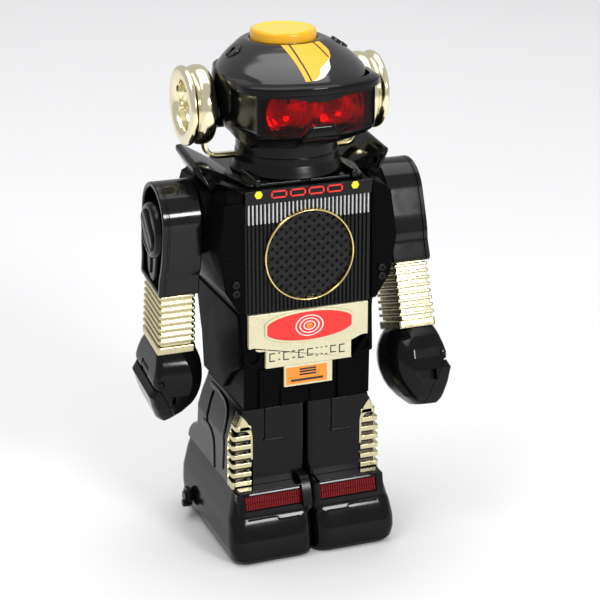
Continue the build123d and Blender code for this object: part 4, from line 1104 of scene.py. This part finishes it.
def shoulder_cap():
    """Round cap below the shoulder's axis, with a slotted bar and a tongue."""
    drop, turn = -5.5, Matrix.Rotation(radians(38), 4, "X")
    dome = lathe(soft_profile([(0, 56.2), (5, 56.2), (5, 60.5), (13.9, 60.5), (13.9, 66.0), (12.8, 68.2),
                               (11.0, 68.7), (10.0, 68.2), (0, 68.6)], 0.9), (0, 0, drop), ALONG_X)
    bar = slab(67, 69.6, -10.6, 10.6, -4.8, 4.8, 0.8, 4.4, "x")
    groove = slab(68.9, 72, -11, 11, -0.5, 0.5, 0.1, 0.2, "x")
    for piece in (bar, groove):
        piece.data.transform(Matrix.Translation((0, 0, drop)) @ turn)
    boolean(bar, groove)
    tab = soft_prism(rounded([(-8.2, -15.5), (8.2, -15.5), (5.2, -28.5), (1.0, -31.6), (-3.4, -31.6),
                              (-6.4, -27.0)], 1.4, 4), 60.4, 66.8, "x", 1.0)
    rib = soft_prism(rounded([(-1.6, -17.5), (1.6, -17.5), (1.0, -28), (-1.0, -28)], 0.8, 3),
                     66.0, 67.6, "x", 0.5)
    return join([dome, bar, tab, rib])


def forearm():
    """Stack of eight rounded plates round a core, with a cuff at the wrist."""
    top, low, pitch, half = -34.4, -67.0, 3.4, 0.95
    pieces = [slab(50.2, 64.4, -11.6, 11.6, low, top, 0.3, 0.6, "z")]
    for step in range(8):
        z = -36.4 - pitch * step
        grow = 0.06 * step
        plan = rounded([(48.2 - grow, -13.2 - grow), (66.2 + grow, -13.2 - grow), (66.2 + grow, 13.2 + grow),
                        (48.2 - grow, 13.2 + grow)], 1.1, 4)
        pieces.append(soft_prism(plan, z - half, z + half, "z", 0.6, 3))
        pieces.append(slab(49.2, 65.3, -12.4, 12.4, z - pitch + half - 0.1, z - half + 0.1, 0.05, 0.6, "z"))
    cuff = rounded([(47.4, -13.4), (66.8, -13.4), (66.8, 13.4), (47.4, 13.4)], 1.4, 4)
    pieces.append(soft_prism(cuff, low - 0.2, -63.0, "z", 0.7))
    return join(pieces)


HAND_X = [(-105, 54.0, 64.4), (-103.2, 52.0, 66.2), (-100.5, 49.2, 67.4), (-96, 45.8, 69.0),
          (-92, 43.8, 70.2), (-88.4, 42.8, 71.3), (-86.2, 42.3, 70.0), (-84.2, 42.1, 69.0),
          (-82.4, 42.0, 69.3), (-80.4, 42.05, 69.4), (-78, 42.2, 68.9), (-74, 42.9, 68.0), (-70, 44.4, 67.1),
          (-67.5, 45.8, 66.4), (-67.0, 46.4, 65.8)]
HAND_Y = [(-105.0, 12.0), (-101, 14.6), (-95, 17.4), (-88, 18.7), (-82, 19.2), (-77, 18.8), (-72, 17.0),
          (-68.5, 14.4), (-67.0, 12.8)]


JAW_AXIS = (66.3, 0, -80.5)


def hand_form():
    """Closed hand and jaw in one piece, drawn from the wrist down."""
    levels = sorted({row[0] for row in HAND_X + HAND_Y}, reverse=True)
    rings = []
    for z in levels:
        inner, outer, d = by_height(HAND_X, z), by_height(HAND_X, z, 2), by_height(HAND_Y, z)
        plan = [(inner, -d * 0.42), (inner + 2.6, -d * 0.82), (inner + 8.2, -d), (outer - 1.6, -d * 0.97),
                (outer, -d * 0.80), (outer, d * 0.80), (outer - 1.6, d * 0.97), (inner + 8.2, d),
                (inner + 2.6, d * 0.82), (inner, d * 0.42)]
        rings.append([(x, y, z) for x, y in rounded(plan, [3, 3, 1.2, 1.0, 1.2, 1.2, 1.0, 1.2, 3, 3], 3)])
    edge = rings[-1]
    middle = sum(p[0] for p in edge) / len(edge)
    rings.append([(x * 0.93 + middle * 0.07, y * 0.93, z - 0.4) for x, y, z in edge])
    return skin(rings)


def jaw_region(grow):
    return soft_prism([(80, -84.6 + grow), (66.6 - grow, -84.6 + grow), (64.4 - grow, -88.4),
                       (61.6 - grow, -94.6), (60.4 - grow, -95.2), (57.2 - grow, -104), (57.2 - grow, -120),
                       (80, -120)], -30, 30, "y", 0.01, 1)


def hand():
    body = boolean(hand_form(), jaw_region(0.35))
    boolean(body, slab(62, 75, -5.5, 5.5, -90, -77.2, 0.3, 0.5))
    relief = slab(66.3, 78, -30, 30, -90, -81.7, 0.1)
    boolean(relief, rod(3.5, -31, 31, JAW_AXIS, ALONG_Y, 40))
    boolean(body, relief)
    boolean(body, slab(58.4, 62.0, -30, -15.0, -93.4, -88.2, 0.1, 0.3))
    boolean(body, rod(1.9, -31, -18.0, JAW_AXIS, ALONG_Y, 32))
    return bevel(body, 0.25, 2, 35)


def jaw():
    body = boolean(hand_form(), jaw_region(0.0), "INTERSECT")
    ear = rod(3.0, -5, 5, JAW_AXIS, ALONG_Y, 40)
    web = slab(64.6, 68.5, -4.9, 4.9, -90, -80.5, 0.3, 0.4)
    return join([bevel(body, 0.25, 2, 35), ear, web])


def jaw_pin():
    return lathe(soft_profile([(0, -19.6), (1.0, -19.5), (1.5, -18.9), (1.5, -18.3), (1.25, -18.2),
                               (1.25, 18.2), (1.5, 18.3), (1.5, 18.9), (1.0, 19.5), (0, 19.6)], 0.2),
                 JAW_AXIS, ALONG_Y, 32)


def build_arms():
    for side in ("right", "left"):
        place = arm_place(side)
        arm, jaw_body = side + "_arm", side + "_jaw"
        finish_piece(shoulder_shell(), side + "_shoulder", arm, "black_gloss", GLOSS,
                     side + "_shoulder_shell", place)
        finish_piece(shoulder_cap(), side + "_cap", arm, "black_gloss", BLACK, side + "_shoulder_cap", place)
        # The sleeve takes the darker gold copy, which is painted shade.
        finish_piece(forearm(), side + "_sleeve", arm, "metallised", SHADED_GOLD, side + "_forearm", place)
        finish_piece(hand(), side + "_palm", arm, "black_gloss", BLACK, side + "_hand", place, 28)
        finish_piece(jaw(), side + "_gripper", jaw_body, "black_gloss", BLACK, side + "_jaw", place, 28)
        finish_piece(jaw_pin(), side + "_pin", jaw_body, "black_gloss", BLACK, side + "_jaw", place)


# ---- legs (right leg) -----------------------------------------------------------------
LEG_TOP, SHIN_FRONT = 77.4, -31.0
KNOB = Vector(JOINTS["mode_knob_turn"]["pos_m"]) / MM
KNOB_Y, KNOB_Z = KNOB.y - BUTTON_Y / MM, KNOB.z
FACE_LOW, FACE_HIGH = (25.0, -39.7), (34.8, -37.65)
SLAT_LOW, SLAT_PITCH, SLATS = 37.2, 4.85, 7
TOE = [(0.0, -41.6), (0.6, -43.0), (1.8, -44.0), (3.0, -44.4), (3.3, -44.1), (3.9, -44.2), (4.3, -44.7),
       (7.0, -45.0), (9.5, -44.9), (12.5, -44.5), (15.5, -43.7), (18.5, -42.6), (21.0, -41.5), (22.6, -40.7),
       (23.7, -39.9), FACE_LOW, FACE_HIGH, (35.6, -37.2), (35.95, -36.4), (36.0, SHIN_FRONT),
       (60, SHIN_FRONT), (LEG_TOP, SHIN_FRONT)]
HEEL = [(0.0, 40.2), (0.5, 41.8), (3.0, 43.4), (8.0, 44.0), (32.0, 44.0), (36.0, 43.2), (39.5, 41.6),
        (42.4, 39.0), (44.8, 36.0), (46.8, 32.5), (48.0, 29.0), (50.0, 27.2), (58.0, 26.4), (LEG_TOP, 25.5)]
FLANK = [(0.0, -38.9), (0.5, -40.4), (3.0, -42.3), (8.0, -43.4), (13.0, -43.4), (21.0, -42.4), (30.0, -40.2),
         (34.6, -38.9), (36.0, -38.5), (60.0, -38.2), (68.0, -35.9), (75.0, -33.2), (LEG_TOP, -32.6)]


def leg_ring(z, shrink, height=None):
    front, back, flank = by_height(TOE, z) + shrink, by_height(HEEL, z) - shrink, by_height(FLANK, z) + shrink
    inner = -0.5 - shrink
    if z < 35.97:
        heel = 8.5 + 7.5 * max(0.0, 1 - z / 20)
        radii = [8.0 if z < 22 else 5.0, 7.5, heel, 3.0]
    else:
        radii = [3.6, 1.6, 3.5, 1.0]
    radii = [max(0.4, r - shrink * 0.7) for r in radii]
    plan = rounded([(inner, front), (flank, front), (flank, back), (inner, back)], radii, 8)
    return [(x, y, z if height is None else height) for x, y in plan]


def slant_block(x0, x1, z0, z1, depth, proud):
    """Block set square into the sloping face over the toe."""
    (z_low, y_low), (z_high, y_high) = FACE_LOW, FACE_HIGH
    slope = (y_high - y_low) / (z_high - z_low)
    near, far = y_low + (z0 - z_low) * slope, y_low + (z1 - z_low) * slope
    return soft_prism([(near - proud, z0), (far - proud, z1), (far + depth, z1), (near + depth, z0)],
                      x0, x1, "x", 0.12, 2)


def grille_space(grow=0.0):
    face = [(-28.0 + grow, 36.2), (-28.0 + grow, 64.5), (-30.2, 70.0), (-33.8, 74.8),
            (-42, 77.0), (-42, 36.2)]
    return soft_prism(rounded(face, [0.3, 2, 2, 2, 0.3, 0.3], 3), SHIN_FRONT - 3, -23.4 + grow, "y", 0.05)


def leg_shell():
    """Boot and shin: a hollow shell with a slot for the lens and a corner cut away for the grille."""
    heights = sorted({row[0] for row in TOE + HEEL + FLANK} | {77.0})
    outer = [leg_ring(z, 0.4 if z == LEG_TOP else 0.0) for z in heights]
    inner = [leg_ring(min(z, 75.0), 2.0, min(z, 75.2)) for z in heights if z < 75.2]
    body = skin(inner[::-1] + outer)
    body = join([body, slant_block(-38.6, -2.0, 25.2, 35.2, 4.2, -0.9)])
    boolean(body, slant_block(-34.7, -4.6, 26.9, 34.4, 2.6, 2))
    boolean(body, grille_space())
    filler = boolean(grille_space(), skin([leg_ring(z, 1.7) for z in (35, 37, 60, 75)]), "INTERSECT")
    return join([body, filler])


def leg_trim():
    """Thigh panel, toe-top ledge, and the raised strips on the flank."""
    pieces = [slab(-21.8, -13.0, SHIN_FRONT - 1.0, SHIN_FRONT + 1, 60.2, LEG_TOP, 0.35, 0.6),
              slab(-22.4, -12.4, SHIN_FRONT - 1.5, SHIN_FRONT + 1, 59.6, 61.0, 0.4, 0.4),
              slab(-37.4, -4.0, -38.0, SHIN_FRONT, 35.6, 36.9, 0.4, 0.6)]
    long = [(15.3, 73.9), (7.8, 74.2), (-1.0, 73.9), (-8.0, 73.0), (-13.6, 70.2), (-16.4, 65.0),
            (-16.6, 52.0), (-15.2, 40.4)]
    short = [(15.9, 54.4), (6.8, 55.2), (1.6, 53.4), (-1.2, 49.4), (-1.9, 42.0), (-1.9, 35.6)]
    pieces += [flank_bar(spline(long, 6), 1.5), flank_bar(spline(short, 6), 1.5)]
    return join(pieces + [flank_bar(spline([(9.5, 72.6), (9.0, 64.0), (8.3, 55.6)], 5), 0.25, 0.05)])


def flank_bar(line, half, lift=0.1):
    """Raised soft bar along (y, z) points on the outer side of the leg."""
    points = [Vector((by_height(FLANK, z) + lift, y, z)) for y, z in line]
    rings = []
    for i, (p, ahead) in enumerate(zip(points, neighbours(points))):
        ahead.normalize()
        out = Vector((-1, 0, 0))
        out = (out - ahead * out.dot(ahead)).normalized()
        taper = 0.45 if i in (0, len(points) - 1) else 1.0
        side, rise = ahead.cross(out) * half * taper, out * taper
        rings.append([p - side - out * 0.6, p - side + rise * 0.45, p - side * 0.6 + rise * 0.75,
                      p + side * 0.6 + rise * 0.75, p + side + rise * 0.45, p + side - out * 0.6])
    return skin(rings)


def toe_tab():
    """Raised outline on top of the toe."""
    ends = [(-33.0, 22.9), (-8.0, 21.6)]
    line = spline([ends[0], ends[0], (-19.6, 22.9), (-17.6, 21.6), ends[1], ends[1]], 5)
    return tube([(x, by_height(TOE, z) - 0.15, z) for x, z in line], 0.5, 8)


def slide_block():
    block = slab(-30, -4, -22, 22, 77.0, 91.0, 0.4, 1.0, "z")
    yoke = slab(-30.4, -28.4, -18, 10, 86, 119.5, 0.3, 0.6, "x")
    return join([block, boolean(yoke, slab(-33, -26, -14.2, 6.2, 102.8, 115.2, 0.1, 0.4, "x"))])


def foot_lens():
    """Red block set in the toe's sloping face, with two rows of upright ribs."""
    ribs, pitch, rib_width = 24, 1.21, 0.85
    pieces = [slant_block(-34.4, -4.9, 27.1, 34.2, 2.4, -1.3)]
    for x in (-34.1 + pitch * place for place in range(ribs)):
        for z0, z1 in ((27.4, 30.5), (30.8, 33.9)):
            pieces.append(slant_block(x, x + rib_width, z0, z1, 1.6, -0.5))
    return join(pieces)


def louvre_slat(z):
    """One slat of the shin grille, bent round the corner at height z."""
    x, y, depth = by_height(FLANK, z) - 0.3, SHIN_FRONT - 0.3, 2.2
    plan = [(-28.8, y), (x, y), (x, -24.2), (x + depth, -24.2), (x + depth, y + depth), (-28.8, y + depth)]
    thick = 2.5
    return soft_prism(rounded(plan, [0.2, 1.7, 0.2, 0.2, 0.6, 0.2], 4), z, z + thick, "z", 0.35)


def shin_grille():
    """Metallised louvre round the shin's outer front corner: a rim with an arched top, and seven slats."""
    rim = boolean(grille_space(-0.15), skin([leg_ring(z, -0.3) for z in (36.0, 60, 68, 75, 77)]), "INTERSECT")
    boolean(rim, skin([leg_ring(z, 2.0) for z in (30, 60, 68, 75, 78)]))
    face = [(-29.1, 37.4), (-29.1, 63.6), (-31.0, 66.2), (-32.8, 66.5), (-42, 66.5), (-42, 37.4)]
    boolean(rim, soft_prism(rounded(face, [0.3, 2, 2, 1, 0.1, 0.1], 3), SHIN_FRONT - 3, -24.4, "y", 0.05))
    slats = [louvre_slat(SLAT_LOW + SLAT_PITCH * step) for step in range(SLATS)]
    return join([bevel(rim, 0.2, 2)] + slats)


def knob():
    """Fluted disc on a short stem, with a stub on its face."""
    stem = lathe(soft_profile([(0, -0.5), (2.4, -0.5), (2.4, 3.4), (3.4, 3.5), (3.4, 6.9), (2.9, 7.3),
                               (0, 7.3)], 0.35), (-40.5, KNOB_Y, KNOB_Z), OUTWARD, 40)
    flutes, rings = 12, []
    for x, radius in ((-44.3, 4.6), (-44.6, 5.15), (-46.1, 5.25), (-46.5, 4.8), (-46.6, 4.0)):
        outline = [(a, radius + 0.2 * cos(flutes * a)) for a in turns(96)]
        rings.append([(x, KNOB_Y + r * cos(a), KNOB_Z + r * sin(a)) for a, r in outline])
    stub = lathe(soft_profile([(0, 5.8), (2.0, 5.8), (2.0, 8.6), (1.6, 9.0), (0, 9.0)], 0.3),
                 (-40.5, KNOB_Y - 3.0, KNOB_Z - 2.0), OUTWARD, 32)
    return join([stem, skin(rings), stub])


def bridge():
    side = spline([(-30.9, 39.5), (-33.6, 39.9), (-36.6, 38.4), (-39.0, 34.6), (-40.6, 30.0), (-41.6, 26.4)],
                  5)
    strap = ribbon([(-3.3, y, z) for y, z in side], (2.5, 0, 0), 0.85)
    ball = lathe([(1.7 * sin(pi * k / 12), -1.7 * cos(pi * k / 12)) for k in range(13)],
                 (-3.0, -41.9, 26.2), (0, 0, 1), 32)
    return join([strap, ball])


def build_legs():
    shell = bevel(leg_shell(), 0.3, 2, 35)
    # The louvre takes the darker gold copy, which is painted shade.
    drafts = {"boot": (join([shell, leg_trim(), toe_tab(), slide_block()]), "black_gloss", BLACK,
                       "leg_shell"), "toe_lens": (foot_lens(), "red_clear", RED_LENS, "foot_lens"),
              "louvre": (shin_grille(), "metallised", SHADED_GOLD, "shin_grille")}
    for name, (draft, slot, material, node) in drafts.items():
        twin = mirrored(draft)
        finish_piece(draft, "right_" + name, "right_leg", slot, material, "right_" + node, body_place())
        finish_piece(twin, "left_" + name, "left_leg", slot, material, "left_" + node, body_place())
    finish_piece(bridge(), "toe_bridge", "right_leg", "black_gloss", SATIN, "foot_bridge", body_place())
    finish_piece(knob(), "switch_knob", "mode_knob", "black_satin", SATIN, "mode_knob", body_place())


# ---- CAD nodes that stay ----------------------------------------------------------------
KEPT = {"shell_screws": STEEL, "battery_cells": CELL, "speaker_driver": CONE, "circuit_board": BOARD,
        "eye_lamps": LAMP, "button_switch": SATIN, "gearbox_frame": NYLON, "motor": STEEL,
        "motor_pinion": NYLON, "drive_gear": NYLON, "crank_shaft": STEEL}
for one in ("right", "left"):
    KEPT[one + "_sole_plate"] = SATIN
    for end in ("front", "rear"):
        KEPT[f"{one}_{end}_roller"] = SATIN


# ---- floor, light and camera ------------------------------------------------------------
def area_light(name, location, target, size, power):
    data = bpy.data.lights.new(name, "AREA")
    data.shape = "RECTANGLE"
    data.size, data.size_y = size
    data.energy = power
    light = linked(name, data)
    light.location = location
    light.rotation_euler = (Vector(target) - Vector(location)).to_track_quat("-Z", "Y").to_euler()


def build_stage():
    half = 6.0
    floor = make([(-half, -half, 0), (half, -half, 0), (half, half, 0), (-half, half, 0)], [(0, 1, 2, 3)])
    floor.name = floor.data.name = "floor"
    floor.data.materials.append(plain("floor_paper", (0.82, 0.82, 0.825), 0.6, scale=3, spread=0.05,
                                      bump=0.0, shade=0.99))
    world = bpy.data.worlds.new("studio")
    world.use_nodes = True
    world.node_tree.nodes["Background"].inputs["Color"].default_value = (0.98, 0.985, 1.0, 1)
    world.node_tree.nodes["Background"].inputs["Strength"].default_value = 0.58
    bpy.context.scene.world = world
    bpy.context.scene.view_settings.view_transform = "Standard"
    middle = (0, 0, 0.13)
    area_light("key", (0.34, -1.06, 0.60), middle, (0.28, 0.19), 7.5)
    area_light("high_left", (-0.70, -0.28, 1.40), middle, (0.50, 0.50), 3.5)
    area_light("ceiling", (0, 0.5, 2.2), (0, 0.5, 0), (2.2, 2.0), 30)


def build_camera():
    data = bpy.data.cameras.new("camera")
    data.sensor_width = 36
    data.lens = 110.74
    camera = linked("camera", data)
    camera.location = (-0.3000, -0.8054 + BUTTON_Y, 0.4293)
    camera.rotation_euler = (radians(70.17), 0, radians(-20.96))
    bpy.context.scene.camera = camera


build_head()
build_chest()
build_torso()
build_arms()
build_legs()
for node, material in KEPT.items():
    data = frame["nodes"][node].data
    data.materials.clear()
    data.materials.append(material)
build_stage()
build_camera()
